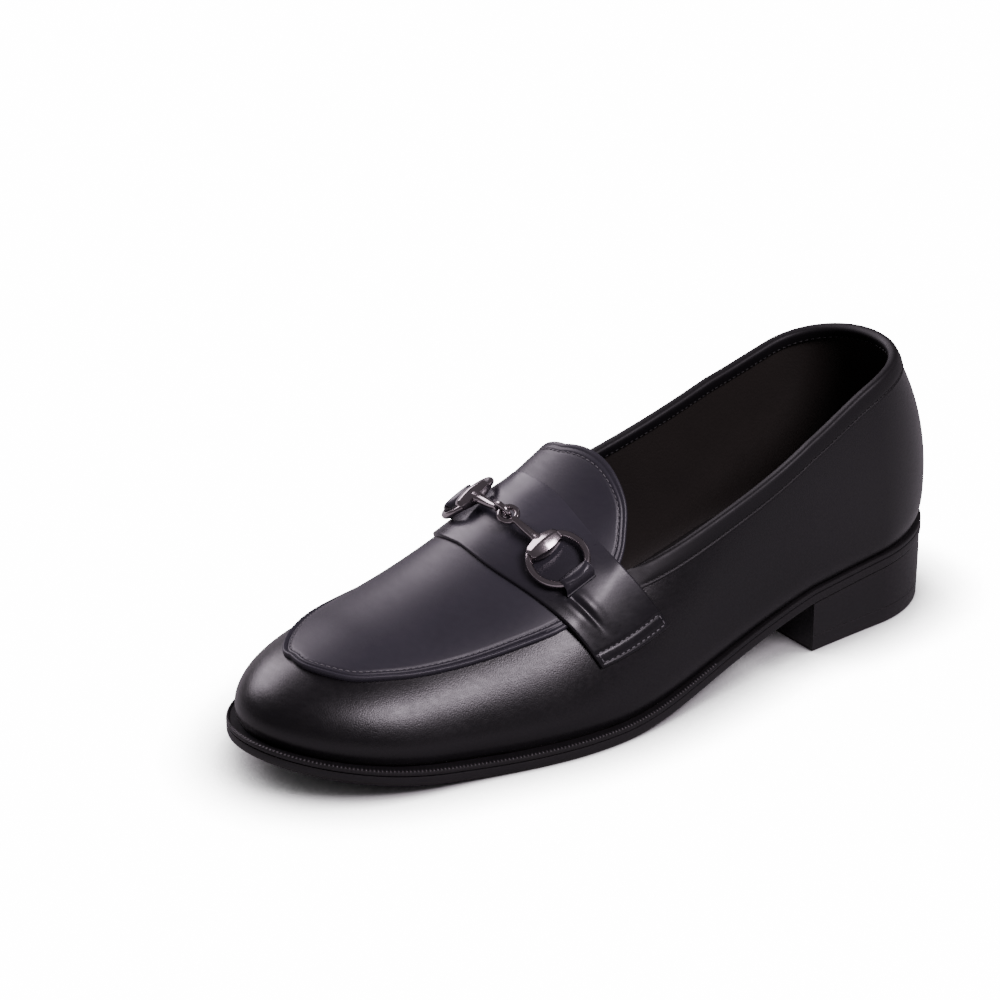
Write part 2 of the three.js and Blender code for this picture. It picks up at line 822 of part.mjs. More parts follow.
add('outsole', outsole(), soleLeather);
add('heel', heel(), heelRubber);
add('welt', welt(), soleLeather);
add('insole', insole(), lining);
add('upper', upper(), calf);
add('apron_tongue', apron(), calf);
add('strap', strap(), polishedCalf);
add('topline_binding', binding(), calf);
add('back_stay', backStay(), calf);
add('bit_outer_half', halfBit(1), gunmetal);
add('bit_inner_half', halfBit(-1), gunmetal);
add('ring_loop_outer', ringLoop(1), polishedCalf);
add('ring_loop_inner', ringLoop(-1), polishedCalf);

// The origin is under the middle of the whole shoe, on the ground
const bounds = new THREE.Box3().setFromObject(shoe, true);
const middle = bounds.getCenter(new THREE.Vector3());
shoe.position.set(-middle.x, -middle.y, -bounds.min.z);

export default shoe;
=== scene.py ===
import logging
import math
from dataclasses import dataclass
from dataclasses import field
from enum import Enum

import bmesh
import bpy
import numpy as np
from mathutils import Matrix
from mathutils import Vector
from mathutils.geometry import delaunay_2d_cdt

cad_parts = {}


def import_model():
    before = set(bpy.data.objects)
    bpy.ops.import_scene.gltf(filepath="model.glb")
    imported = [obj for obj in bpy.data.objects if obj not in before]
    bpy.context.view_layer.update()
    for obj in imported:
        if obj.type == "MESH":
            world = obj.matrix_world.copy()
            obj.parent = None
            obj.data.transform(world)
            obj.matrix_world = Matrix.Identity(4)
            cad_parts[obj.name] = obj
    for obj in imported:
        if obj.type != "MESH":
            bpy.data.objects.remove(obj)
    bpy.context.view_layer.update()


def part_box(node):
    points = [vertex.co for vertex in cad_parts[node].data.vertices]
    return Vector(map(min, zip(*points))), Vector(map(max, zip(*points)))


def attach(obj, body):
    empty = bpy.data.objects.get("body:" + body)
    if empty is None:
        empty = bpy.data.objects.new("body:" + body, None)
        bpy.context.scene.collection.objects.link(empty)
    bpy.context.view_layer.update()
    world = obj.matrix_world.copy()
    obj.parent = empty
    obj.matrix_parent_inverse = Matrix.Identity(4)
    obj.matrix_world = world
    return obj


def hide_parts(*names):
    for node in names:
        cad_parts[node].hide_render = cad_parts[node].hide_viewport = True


LOG = logging.getLogger("bit_loafer")
MM = 0.001
QUARTER = math.pi / 2


class Side(Enum):
    """Side of the left shoe."""

    OUTER = 1
    INNER = -1


class Slot(Enum):
    """Material slots of the record."""

    CALF = "upper_calf"
    STRAP = "strap_calf"
    SOLE = "sole_leather"
    HEEL = "heel_rubber"
    LINING = "lining_leather"
    METAL = "dark_nickel"


class Spline:
    """Smooth curve through the rows of a table, straight at both ends."""

    def __init__(self, places: list[float], values: list[float]) -> None:
        """Solves the bends at the rows.

        Args:
            places: Rising places of the rows.
            values: Value at each place.
        """
        self.places = np.array(places, float)
        self.values = np.array(values, float)
        count = len(places)
        step = np.diff(self.places)
        matrix = np.eye(count)
        right = np.zeros(count)
        for k in range(1, count - 1):
            matrix[k, k - 1:k + 2] = step[k - 1], 2 * (step[k - 1] + step[k]), step[k]
            rise = (self.values[k + 1] - self.values[k]) / step[k]
            right[k] = 6 * (rise - (self.values[k] - self.values[k - 1]) / step[k - 1])
        self.bend = np.linalg.solve(matrix, right)
        self.step = step

    def __call__(self, place: np.ndarray) -> np.ndarray:
        """Value of the curve.

        Args:
            place: Places to read, of any shape.

        Returns:
            Values of the same shape.
        """
        place = np.asarray(place, float)
        k = np.clip(np.searchsorted(self.places, place) - 1, 0, len(self.step) - 1)
        step = self.step[k]
        a = (self.places[k + 1] - place) / step
        b = 1 - a
        sag = ((a ** 3 - a) * self.bend[k] + (b ** 3 - b) * self.bend[k + 1]) * step ** 2 / 6
        return a * self.values[k] + b * self.values[k + 1] + sag


def smoothstep(value: np.ndarray, low: float, high: float) -> np.ndarray:
    """Rises smoothly from 0 at low to 1 at high."""
    s = np.clip((np.asarray(value, float) - low) / (high - low), 0, 1)
    return s * s * (3 - 2 * s)


def lerp(a: np.ndarray, b: np.ndarray, s: np.ndarray) -> np.ndarray:
    """Mix of a and b."""
    return a + (b - a) * s


def unit(vectors: np.ndarray) -> np.ndarray:
    """Vectors of length one."""
    return vectors / np.maximum(np.linalg.norm(vectors, axis=-1, keepdims=True), 1e-12)


@dataclass
class LastShape:
    """The foot form that all pieces are laid on, in millimetres, as the part's source has it."""

    length: float = 300.0
    ball_width: float = 104.0
    instep_height: float = 72.5
    collar_height: float = 70.3
    heel_height: float = 27.0
    heel_drop: float = 7.0
    heel_length: float = 75.0
    toe_spring: float = 13.0
    toe_shift: float = 4.5
    outsole: float = 3.5
    welt: float = 1.6
    clearance: float = 0.3
    feather_tuck: float = 2.5
    tuck_height: float = 12.0
    heel_lean: float = 12.5
    lean_start: float = 20.0
    lean_run: float = 45.0
    heel_tuck: float = 2.3
    heel_tuck_height: float = 22.0
    heel_round: float = 0.13
    toe_round: float = 0.185
    toe_drop: float = 0.155
    shift_start: float = 0.55
    flat_start: float = 0.59
    flat_end: float = 0.70
    lean_fade: float = 0.35
    collar_end: float = 0.533
    throat: float = 0.607
    shift: np.ndarray = field(default_factory=lambda: np.zeros(3))

    def __post_init__(self) -> None:
        """Builds the curves of the tables."""
        at = [0, 0.12, 0.27, 0.42, 0.55, 0.65, 0.78, 0.90, 1]
        self.outer = Spline(at, [0.332, 0.356, 0.402, 0.465, 0.540, 0.545, 0.468, 0.417, 0.385])
        self.inner = Spline(at, [0.337, 0.341, 0.304, 0.293, 0.399, 0.461, 0.481, 0.436, 0.361])
        self.ridge = Spline(at, [1.986, 1.945, 1.710, 1.359, 1.0, 0.776, 0.579, 0.452, 0.441])
        self.narrow = Spline(at, [0.02, 0.02, 0.06, 0.07, 0.03, 0.02, 0.0, -0.05, -0.12])
        self.lean = Spline(at, [0, 0, 0, -0.029, -0.077, -0.067, -0.038, -0.014, 0])
        rim = [0, 0.12, 0.27, 0.40, 0.54]
        self.outer_rim = Spline(rim, [1.0, 0.974, 0.789, 0.723, 0.690])
        self.inner_rim = Spline(rim, [1.0, 0.939, 0.875, 0.875, 0.811])
        self.reach = Spline([0, 0.15, 0.35, 0.5, 0.65, 1], [-0.8, -0.8, -0.3, 0.8, 2.2, 2.4])
        self.seat_level = self.outsole + self.welt + 2 * self.clearance
        self.arc_places = np.linspace(0.40, 0.96, 57) * self.length
        self.arc_lengths = np.array([self.arc_per_turn(x) for x in self.arc_places])

    def round_off(self, distance: np.ndarray, stretch: float) -> np.ndarray:
        """Quarter ellipse that falls from 1 to 0 over the last stretch."""
        v = np.clip(1 - distance / stretch, 0, 1)
        return np.sqrt(np.maximum(1 - v * v, 0))

    def end_round(self, x: np.ndarray) -> np.ndarray:
        """Share of the width that is left at the rounded ends."""
        heel = self.round_off(x, self.heel_round * self.length)
        return heel * self.round_off(self.length - x, self.toe_round * self.length)

    def middle(self, x: np.ndarray) -> np.ndarray:
        """Middle line of the form, which bends to the outer side at the toe."""
        run = np.clip((x / self.length - self.shift_start) / (1 - self.shift_start), 0, 1)
        return self.toe_shift * run ** 2

    def edge(self, x: np.ndarray, side: float) -> np.ndarray:
        """Y of the form's outline on a side."""
        curve = self.outer if side > 0 else self.inner
        return self.middle(x) + side * curve(x / self.length) * self.ball_width * self.end_round(x)

    def plan_normal(self, x: np.ndarray, side: float) -> np.ndarray:
        """Direction straight out of the outline in plan.

        Args:
            x: Places along the form.
            side: 1 for the outer side, -1 for the inner side.

        Returns:
            Unit vectors with x and y.
        """
        low = 1e-6
        high = self.length - 1e-6
        start = np.maximum(x - 0.3, low)
        end = np.minimum(x + 0.3, high)
        slope = (self.edge(end, side) - self.edge(start, side)) / (end - start)
        normal = unit(np.stack([-slope * side, np.full_like(slope, side)], -1))
        normal = np.where((x < low)[..., None], [-1.0, 0.0], normal)
        return np.where((x > high)[..., None], [1.0, 0.0], normal)

    def underside(self, x: np.ndarray) -> np.ndarray:
        """Height of the outsole's underside: heel seat, arch, flat tread and toe spring."""
        breast = self.heel_height - self.heel_drop
        pitch = self.heel_drop / self.heel_length
        tread = self.flat_start * self.length
        run = tread - self.heel_length
        s = np.clip((x - self.heel_length) / run, 0, 1)
        arch = (2 * s ** 3 - 3 * s ** 2 + 1) * breast - (s ** 3 - 2 * s ** 2 + s) * 2 * pitch * run
        tread_end = self.flat_end * self.length
        toe = self.toe_spring * (np.maximum(x - tread_end, 0) / (self.length - tread_end)) ** 2
        low = np.where(x < tread, arch, toe)
        return np.where(x < self.heel_length, self.heel_height - pitch * x, low)

    def station_x(self, t: np.ndarray) -> np.ndarray:
        """Place along the form of a station."""
        return self.length * (1 - np.cos(np.pi * np.asarray(t, float))) / 2

    def station_t(self, x: np.ndarray) -> np.ndarray:
        """Station of a place along the form."""
        return np.arccos(1 - 2 * np.clip(np.asarray(x, float) / self.length, 0, 1)) / np.pi

    def ridge_height(self, x: np.ndarray) -> np.ndarray:
        """Height of the ridge over the feather edge."""
        fall = self.round_off(self.length - x, self.toe_drop * self.length)
        return self.ridge(x / self.length) * self.instep_height * fall

    def point(self, t: np.ndarray, angle: np.ndarray) -> np.ndarray:
        """Point of the form's surface.

        Args:
            t: Stations, from heel to toe.
            angle: 0 at the outer feather edge, a quarter turn at the ridge, half a turn inside.

        Returns:
            Points with x, y and z.
        """
        t, angle = np.broadcast_arrays(np.asarray(t, float), np.asarray(angle, float))
        x = self.station_x(t)
        ends = self.end_round(x)
        ridge_y = self.middle(x) + self.lean(x / self.length) * self.ball_width * ends
        outer = self.edge(x, 1) - ridge_y
        inner = ridge_y - self.edge(x, -1)
        c = np.cos(angle)
        rise = self.ridge_height(x) * np.sin(angle)
        half = (outer + inner) / 2 + (outer - inner) / 2 * c * (1.5 - 0.5 * c * c)
        thin = 1 - self.narrow(x / self.length) * (1 - c * c)
        back = self.heel_tuck * np.clip(1 - rise / self.heel_tuck_height, 0, 1) ** 2
        back = back + self.heel_lean * (np.maximum(rise - self.lean_start, 0) / self.lean_run) ** 2
        fade = np.clip(1 - x / (self.lean_fade * self.length), 0, 1) ** 2
        tuck = self.feather_tuck * np.clip(1 - rise / self.tuck_height, 0, 1) ** 3
        out = self.plan_normal(x, 1) * ((1 + c) / 2)[..., None]
        out = out + self.plan_normal(x, -1) * ((1 - c) / 2)[..., None]
        px = x + back * fade - out[..., 0] * tuck
        py = ridge_y + c * half * thin - out[..., 1] * tuck
        return np.stack([px, py, self.underside(px) + self.seat_level + rise], -1)

    def normal(self, t: np.ndarray, angle: np.ndarray) -> np.ndarray:
        """Outward normal of the form's surface at stations and angles."""
        e = 1e-3
        t, angle = np.broadcast_arrays(np.asarray(t, float), np.asarray(angle, float))
        tc = np.clip(t, e, 1 - e)
        ac = np.clip(angle, e, math.pi - e)
        along = self.point(tc + e, ac) - self.point(tc - e, ac)
        around = self.point(tc, ac + e) - self.point(tc, ac - e)
        normal = unit(np.cross(around, along))
        flat = unit(normal * [1, 0, 1])
        return np.where((t < e)[..., None], lerp(flat, normal, (t / e)[..., None]), normal)

    def skin(self, t: np.ndarray, angle: np.ndarray, height: np.ndarray) -> np.ndarray:
        """Point at a height over the form's surface."""
        return self.point(t, angle) + self.normal(t, angle) * np.asarray(height, float)[..., None]

    def lay(self, x: np.ndarray, turn: np.ndarray, height: np.ndarray) -> np.ndarray:
        """Point over the surface by its place and its turn from the ridge.

        Args:
            x: Places along the form.
            turn: Share of the quarter turn from the ridge, positive on the outer side.
            height: Height over the surface.

        Returns:
            Points with x, y and z.
        """
        x, turn, height = np.broadcast_arrays(x, turn, height)
        return self.skin(self.station_t(x), QUARTER * (1 - turn), height)

    def lay_normal(self, x: np.ndarray, turn: np.ndarray) -> np.ndarray:
        """Outward normal by place and turn."""
        x, turn = np.broadcast_arrays(x, turn)
        return self.normal(self.station_t(x), QUARTER * (1 - turn))

    def arc_per_turn(self, x: float) -> float:
        """Millimetres of surface for one whole turn from the ridge, at one place."""
        turns = np.linspace(-0.5, 0.5, 41)
        line = self.lay(np.full_like(turns, x), turns, np.zeros_like(turns))
        return float(np.linalg.norm(np.diff(line, axis=0), axis=1).sum())

    def arc(self, x: np.ndarray) -> np.ndarray:
        """Millimetres for one whole turn at places along the forepart."""
        return np.interp(x, self.arc_places, self.arc_lengths)

    def rim_angle(self, x: np.ndarray, side: float) -> np.ndarray:
        """Angle at which the collar's rim lies on a side.

        Args:
            x: Places along the form.
            side: 1 for the outer side, -1 for the inner side.

        Returns:
            Angles from the side's feather edge.
        """
        curve = self.outer_rim if side > 0 else self.inner_rim
        start = self.collar_end * self.length
        end = self.throat * self.length

        def flat(place: np.ndarray) -> np.ndarray:
            """Angle that gives the rim's height."""
            share = curve(place / self.length) * self.collar_height / self.ridge_height(place)
            return np.arcsin(np.clip(share, 0, 0.999))

        first = flat(np.array(start))
        run = np.sqrt(1 - np.clip((x - start) / (end - start), 0, 1) ** 2)
        return np.where(x <= start, flat(np.minimum(x, start)), QUARTER - (QUARTER - first) * run)

    def sole_line(self, t: np.ndarray, side: float, inset: float, level: float) -> np.ndarray:
        """Line that follows the sole's edge.

        Args:
            t: Stations.
            side: 1 for the outer side, -1 for the inner side.
            inset: Distance inwards from the sole's edge.
            level: Height over the outsole's underside.

        Returns:
            Points with x, y and z.
        """
        x = self.station_x(t)
        out = self.plan_normal(x, side) * (self.reach(x / self.length) - inset)[..., None]
        px = x + out[..., 0]
        return np.stack([px, self.edge(x, side) + out[..., 1], self.underside(px) + level], -1)

    def place_on(self, node: str) -> None:
        """Finds the shift from this form's own millimetres to the frame.

        Args:
            node: CAD node with the sole's outline.
        """
        t = np.linspace(0, 1, 45)
        both = np.concatenate([self.sole_line(t, side, 0, 0) for side in (1, -1)])
        low = np.array(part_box(node)[0]) / MM
        self.shift = low - np.array([both[:, 0].min(), both[:, 1].min(), 0.0])

    def to_frame(self, points: np.ndarray) -> np.ndarray:
        """Millimetres of the form as metres of the frame."""
        return (np.asarray(points, float) + self.shift) * MM


class MeshDraft:
    """Points and faces of one piece, gathered from grids and fans."""

    def __init__(self, last: LastShape) -> None:
        """Starts an empty draft."""
        self.last = last
        self.points: list[np.ndarray] = []
        self.faces: list[tuple[int, ...]] = []
        self.count = 0

    def add(self, points: np.ndarray, faces: list[tuple[int, ...]]) -> None:
        """Adds points and the faces between them."""
        self.points.append(points.reshape(-1, 3))
        self.faces += [tuple(int(k) + self.count for k in face) for face in faces]
        self.count += len(self.points[-1])

    def grid(self, points: np.ndarray, close_rows: bool = False, close_columns: bool = False) -> None:
        """Adds a grid of quads.

        Args:
            points: Array of rows, columns and 3.
            close_rows: Joins the last row to the first.
            close_columns: Joins the last column to the first.
        """
        rows, columns = points.shape[:2]
        index = np.arange(rows * columns).reshape(rows, columns)
        if close_rows:
            index = np.concatenate([index, index[:1]])
        if close_columns:
            index = np.concatenate([index, index[:, :1]], axis=1)
        a, b = index[:-1, :-1], index[1:, :-1]
        c, d = index[1:, 1:], index[:-1, 1:]
        self.add(points, np.stack([a, b, c, d], -1).reshape(-1, 4).tolist())

    def cap(self, ring: np.ndarray) -> None:
        """Closes a ring of points with a fan round its middle."""
        count = len(ring)
        points = np.concatenate([ring, ring.mean(axis=0, keepdims=True)])
        self.add(points, [(k, (k + 1) % count, count) for k in range(count)])

    def finish(self, name: str, material: bpy.types.Material, sharp: float = 50.0) -> bpy.types.Object:
        """Makes the object, welded, closed and with its faces outwards.

        Args:
            name: Name of the piece.
            material: Its material.
            sharp: Angle over which an edge is not smoothed, in degrees.

        Returns:
            The new object, at the origin.
        """
        mesh = bpy.data.meshes.new(name)
        mesh.from_pydata(self.last.to_frame(np.concatenate(self.points)).tolist(), [], self.faces)
        work = bmesh.new()
        work.from_mesh(mesh)
        bmesh.ops.remove_doubles(work, verts=work.verts, dist=2e-6)
        bmesh.ops.dissolve_degenerate(work, edges=work.edges, dist=1e-7)
        bmesh.ops.recalc_face_normals(work, faces=work.faces)
        for face in work.faces:
            face.smooth = True
        work.to_mesh(mesh)
        work.free()
        mesh.set_sharp_from_angle(angle=math.radians(sharp))
        mesh.materials.append(material)
        piece = bpy.data.objects.new(name, mesh)
        bpy.context.scene.collection.objects.link(piece)
        return piece


def enlist(piece: bpy.types.Object, slot: Slot, *nodes: str) -> bpy.types.Object:
    """Hangs a finished piece under the root body and hides the CAD nodes that it stands for.

    Args:
        piece: The piece, in place.
        slot: Material slot of the record; not used.
        *nodes: CAD nodes that it stands for.

    Returns:
        The same piece.
    """
    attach(piece, "root")
    if nodes:
        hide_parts(*nodes)
    LOG.info("%s: %d points, %d faces", piece.name, len(piece.data.vertices), len(piece.data.polygons))
    return piece


class NodeBench:
    """Short way to add and join nodes of one tree."""

    def __init__(self, tree: bpy.types.NodeTree) -> None:
        """Works on a tree that exists."""
        self.tree = tree

    def node(self, kind: str, **settings: object) -> bpy.types.Node:
        """Adds a node.

        Args:
            kind: Blender's name of the node.
            **settings: Properties by name, or input values by their name after in_.

        Returns:
            The node.
        """
        made = self.tree.nodes.new(kind)
        for name, value in settings.items():
            if name.startswith("in_"):
                made.inputs[name[3:].replace("_", " ")].default_value = value
            else:
                setattr(made, name, value)
        return made

    def join(self, source: bpy.types.NodeSocket, target: bpy.types.NodeSocket) -> None:
        """Links an output to an input."""
        self.tree.links.new(source, target)

    def math(self, operation: str, a: object, b: object = 0.0) -> bpy.types.NodeSocket:
        """Adds a Math node.

        Args:
            operation: Its operation.
            a: First value or socket.
            b: Second value or socket.

        Returns:
            Its output.
        """
        made = self.tree.nodes.new("ShaderNodeMath")
        made.operation = operation
        for socket, value in zip(made.inputs, (a, b)):
            if isinstance(value, bpy.types.NodeSocket):
                self.join(value, socket)
            else:
                socket.default_value = value
        return made.outputs[0]


def new_group(name: str, kind: str, inputs: dict[str, tuple], outputs: dict[str, str]) -> tuple:
    """Starts a node group with named sockets.

    Args:
        name: Name of the group.
        kind: Blender's type of the tree.
        inputs: Socket type and default value by name.
        outputs: Socket type by name.

    Returns:
        The bench on the group, its input node and its output node.
    """
    tree = bpy.data.node_groups.new(name, kind)
    for title, (socket_type, value) in inputs.items():
        socket = tree.interface.new_socket(title, in_out="INPUT", socket_type=socket_type)
        if value is not None:
            socket.default_value = value
    for title, socket_type in outputs.items():
        tree.interface.new_socket(title, in_out="OUTPUT", socket_type=socket_type)
    bench = NodeBench(tree)
    return bench, bench.node("NodeGroupInput"), bench.node("NodeGroupOutput")


FLOAT = "NodeSocketFloat"
VECTOR = "NodeSocketVector"
GEOMETRY = "NodeSocketGeometry"


def grain_group() -> bpy.types.NodeTree:
    """Leather grain: small rounded cells between fine furrows, with soft unevenness under them."""
    bench, source, result = new_group(
        "calf_grain", "ShaderNodeTree",
        {"Vector": (VECTOR, None), "Cell": (FLOAT, 0.0006), "Furrow": (FLOAT, 0.5)},
        {"Height": FLOAT, "Tone": FLOAT},
    )
    scale = bench.math("DIVIDE", 1.0, source.outputs["Cell"])
    cells = bench.node("ShaderNodeTexVoronoi", feature="SMOOTH_F1", in_Smoothness=0.35)
    bench.join(source.outputs["Vector"], cells.inputs["Vector"])
    bench.join(scale, cells.inputs["Scale"])
    fine = bench.node("ShaderNodeTexNoise", in_Detail=3.0)
    bench.join(source.outputs["Vector"], fine.inputs["Vector"])
    bench.join(bench.math("MULTIPLY", scale, 0.45), fine.inputs["Scale"])
    broad = bench.node("ShaderNodeTexNoise", in_Scale=38.0, in_Detail=4.0)
    bench.join(source.outputs["Vector"], broad.inputs["Vector"])
    dome = bench.math("SUBTRACT", 1.0, bench.math("POWER", cells.outputs["Distance"], 1.6))
    deep = bench.math("MULTIPLY", dome, source.outputs["Furrow"])
    rest = bench.math("SUBTRACT", 1.0, source.outputs["Furrow"])
    soft = bench.math("MULTIPLY", fine.outputs["Fac"], rest)
    bench.join(bench.math("ADD", deep, soft), result.inputs["Height"])
    bench.join(broad.outputs["Fac"], result.inputs["Tone"])
    return bench.tree


def wear_group() -> bpy.types.NodeTree:
    """Handling marks: faint scuffs that dull the polish in patches."""
    bench, source, result = new_group(
        "handling_marks", "ShaderNodeTree",
        {"Vector": (VECTOR, None), "Amount": (FLOAT, 0.3)},
        {"Dulling": FLOAT},
    )
    patch = bench.node("ShaderNodeTexNoise", in_Scale=24.0, in_Detail=5.0, in_Roughness=0.6)
    scuff = bench.node("ShaderNodeTexNoise", in_Scale=420.0, in_Detail=2.0)
    stretch = bench.node("ShaderNodeMapping")
    stretch.inputs["Scale"].default_value = (1.0, 0.3, 2.2)
    bench.join(source.outputs["Vector"], stretch.inputs["Vector"])
    bench.join(source.outputs["Vector"], patch.inputs["Vector"])
    bench.join(stretch.outputs["Vector"], scuff.inputs["Vector"])
    both = bench.math("MULTIPLY", patch.outputs["Fac"], scuff.outputs["Fac"])
    bench.join(bench.math("MULTIPLY", both, source.outputs["Amount"]), result.inputs["Dulling"])
    return bench.tree


@dataclass(frozen=True)
class LeatherFinish:
    """One leather, thread or rubber finish.

    Where rise is given, the light colour comes in between its two heights over the floor, in metres: a
    painted sheen that makes the upper part paler, as where light falls on top.
    """

    name: str
    colour: tuple[float, float, float]
    light: tuple[float, float, float]
    roughness: float
    cell: float = 0.0006
    furrow: float = 0.5
    bump: float = 0.15
    wear: float = 0.3
    specular: float = 0.5
    # Heights over which the painted sheen pales the upper part; None for no painted sheen.
    rise: tuple[float, float] | None = None

    def material(self, grain: bpy.types.NodeTree, marks: bpy.types.NodeTree) -> bpy.types.Material:
        """Builds the material.

        Args:
            grain: Group with the leather grain.
            marks: Group with the handling marks.

        Returns:
            The material.
        """
        made = bpy.data.materials.new(self.name)
        made.use_nodes = True
        bench = NodeBench(made.node_tree)
        shader = made.node_tree.nodes["Principled BSDF"]
        where = bench.node("ShaderNodeTexCoord").outputs["Object"]
        skin = bench.node("ShaderNodeGroup", node_tree=grain, in_Cell=self.cell, in_Furrow=self.furrow)
        wear = bench.node("ShaderNodeGroup", node_tree=marks, in_Amount=self.wear)
        bench.join(where, skin.inputs["Vector"])
        bench.join(where, wear.inputs["Vector"])
        mix = bench.node("ShaderNodeMix", data_type="RGBA")
        share = skin.outputs["Tone"]
        if self.rise:
            # Painted sheen: the colour turns to the paler one with height over the floor, so the upper part
            # looks lit.
            low, high = self.rise
            apart = bench.node("ShaderNodeSeparateXYZ")
            bench.join(where, apart.inputs["Vector"])
            painted_top_sheen = bench.math("DIVIDE", bench.math("SUBTRACT", apart.outputs["Z"], low), high - low)
            painted_top_sheen = bench.math("MINIMUM", bench.math("MAXIMUM", painted_top_sheen, 0.0), 1.0)
            painted_top_sheen = bench.math("MULTIPLY", painted_top_sheen, 0.85)
            share = bench.math("ADD", painted_top_sheen, bench.math("MULTIPLY", share, 0.15))
        bench.join(share, mix.inputs["Factor"])
        mix.inputs["A"].default_value = (*self.colour, 1.0)
        mix.inputs["B"].default_value = (*self.light, 1.0)
        bench.join(mix.outputs["Result"], shader.inputs["Base Color"])
        uneven = bench.math("MULTIPLY", bench.math("SUBTRACT", skin.outputs["Tone"], 0.5), 0.12)
        rough = bench.math("ADD", bench.math("ADD", uneven, self.roughness), wear.outputs["Dulling"])
        bench.join(rough, shader.inputs["Roughness"])
        bump = bench.node("ShaderNodeBump", in_Strength=self.bump, in_Distance=0.0002)
        bench.join(skin.outputs["Height"], bump.inputs["Height"])
        bench.join(bump.outputs["Normal"], shader.inputs["Normal"])
        shader.inputs["Specular IOR Level"].default_value = self.specular
        return made


@dataclass(frozen=True)
class MetalFinish:
    """Plated metal with faint swirls from polishing."""

    name: str
    colour: tuple[float, float, float]
    roughness: float

    def material(self, marks: bpy.types.NodeTree) -> bpy.types.Material:
        """Builds the material.

        Args:
            marks: Group with the handling marks.

        Returns:
            The material.
        """
        made = bpy.data.materials.new(self.name)
        made.use_nodes = True
        bench = NodeBench(made.node_tree)
        shader = made.node_tree.nodes["Principled BSDF"]
        where = bench.node("ShaderNodeTexCoord").outputs["Object"]
        wear = bench.node("ShaderNodeGroup", node_tree=marks, in_Amount=0.22)
        bench.join(where, wear.inputs["Vector"])
        shader.inputs["Base Color"].default_value = (*self.colour, 1.0)
        shader.inputs["Metallic"].default_value = 1.0
        bench.join(bench.math("ADD", wear.outputs["Dulling"], self.roughness), shader.inputs["Roughness"])
        return made


def repeat_tree() -> bpy.types.NodeTree:
    """Geometry Nodes tree that sets one rounded body on every point, turned as the point says."""
    bench, source, result = new_group(
        "repeat_along", "GeometryNodeTree",
        {
            "Geometry": (GEOMETRY, None),
            "Body length": (FLOAT, 0.002),
            "Body width": (FLOAT, 0.0006),
            "Body height": (FLOAT, 0.0005),
            "Finish": ("NodeSocketMaterial", None),
        },
        {"Geometry": GEOMETRY},
    )
    ball = bench.node("GeometryNodeMeshUVSphere", in_Segments=8, in_Rings=6, in_Radius=0.5)
    size = bench.node("ShaderNodeCombineXYZ")
    for axis, title in zip("XYZ", ("Body length", "Body width", "Body height")):
        bench.join(source.outputs[title], size.inputs[axis])
    shape = bench.node("GeometryNodeTransform")
    bench.join(ball.outputs["Mesh"], shape.inputs["Geometry"])
    bench.join(size.outputs["Vector"], shape.inputs["Scale"])
    smooth = bench.node("GeometryNodeSetShadeSmooth")
    bench.join(shape.outputs["Geometry"], smooth.inputs["Geometry"])
    turn = None
    for axis, pivot, title in (("X", "AUTO", "along"), ("Z", "X", "out")):
        read = bench.node("GeometryNodeInputNamedAttribute", data_type="FLOAT_VECTOR", in_Name=title)
        align = bench.node("FunctionNodeAlignRotationToVector", axis=axis, pivot_axis=pivot)
        bench.join(read.outputs["Attribute"], align.inputs["Vector"])
        if turn is not None:
            bench.join(turn, align.inputs["Rotation"])
        turn = align.outputs["Rotation"]
    place = bench.node("GeometryNodeInstanceOnPoints")
    bench.join(source.outputs["Geometry"], place.inputs["Points"])
    bench.join(smooth.outputs["Geometry"], place.inputs["Instance"])
    bench.join(turn, place.inputs["Rotation"])
    real = bench.node("GeometryNodeRealizeInstances")
    bench.join(place.outputs["Instances"], real.inputs["Geometry"])
    dress = bench.node("GeometryNodeSetMaterial")
    bench.join(real.outputs["Geometry"], dress.inputs["Geometry"])
    bench.join(source.outputs["Finish"], dress.inputs["Material"])
    bench.join(dress.outputs["Geometry"], result.inputs["Geometry"])
    return bench.tree


@dataclass
class Path:
    """A line on the shoe with the direction out of the surface at each point, in millimetres."""

    points: np.ndarray
    out: np.ndarray

    def spaced(self, pitch: float) -> tuple[np.ndarray, np.ndarray, np.ndarray]:
        """Even places on the line.

        Args:
            pitch: Distance from place to place.

        Returns:
            Points, directions along the line and directions out of the surface.
        """
        steps = np.linalg.norm(np.diff(self.points, axis=0), axis=1)
        run = np.concatenate([[0], np.cumsum(steps)])
        count = max(int(round(run[-1] / pitch)), 1)
        places = (np.arange(count) + 0.5) * run[-1] / count

        def read(values: np.ndarray, at: np.ndarray) -> np.ndarray:
            """Values of each column at places on the line."""
            return np.stack([np.interp(at, run, values[:, k]) for k in range(3)], -1)

        along = unit(read(self.points, places + 0.2) - read(self.points, places - 0.2))
        return read(self.points, places), along, unit(read(self.out, places))


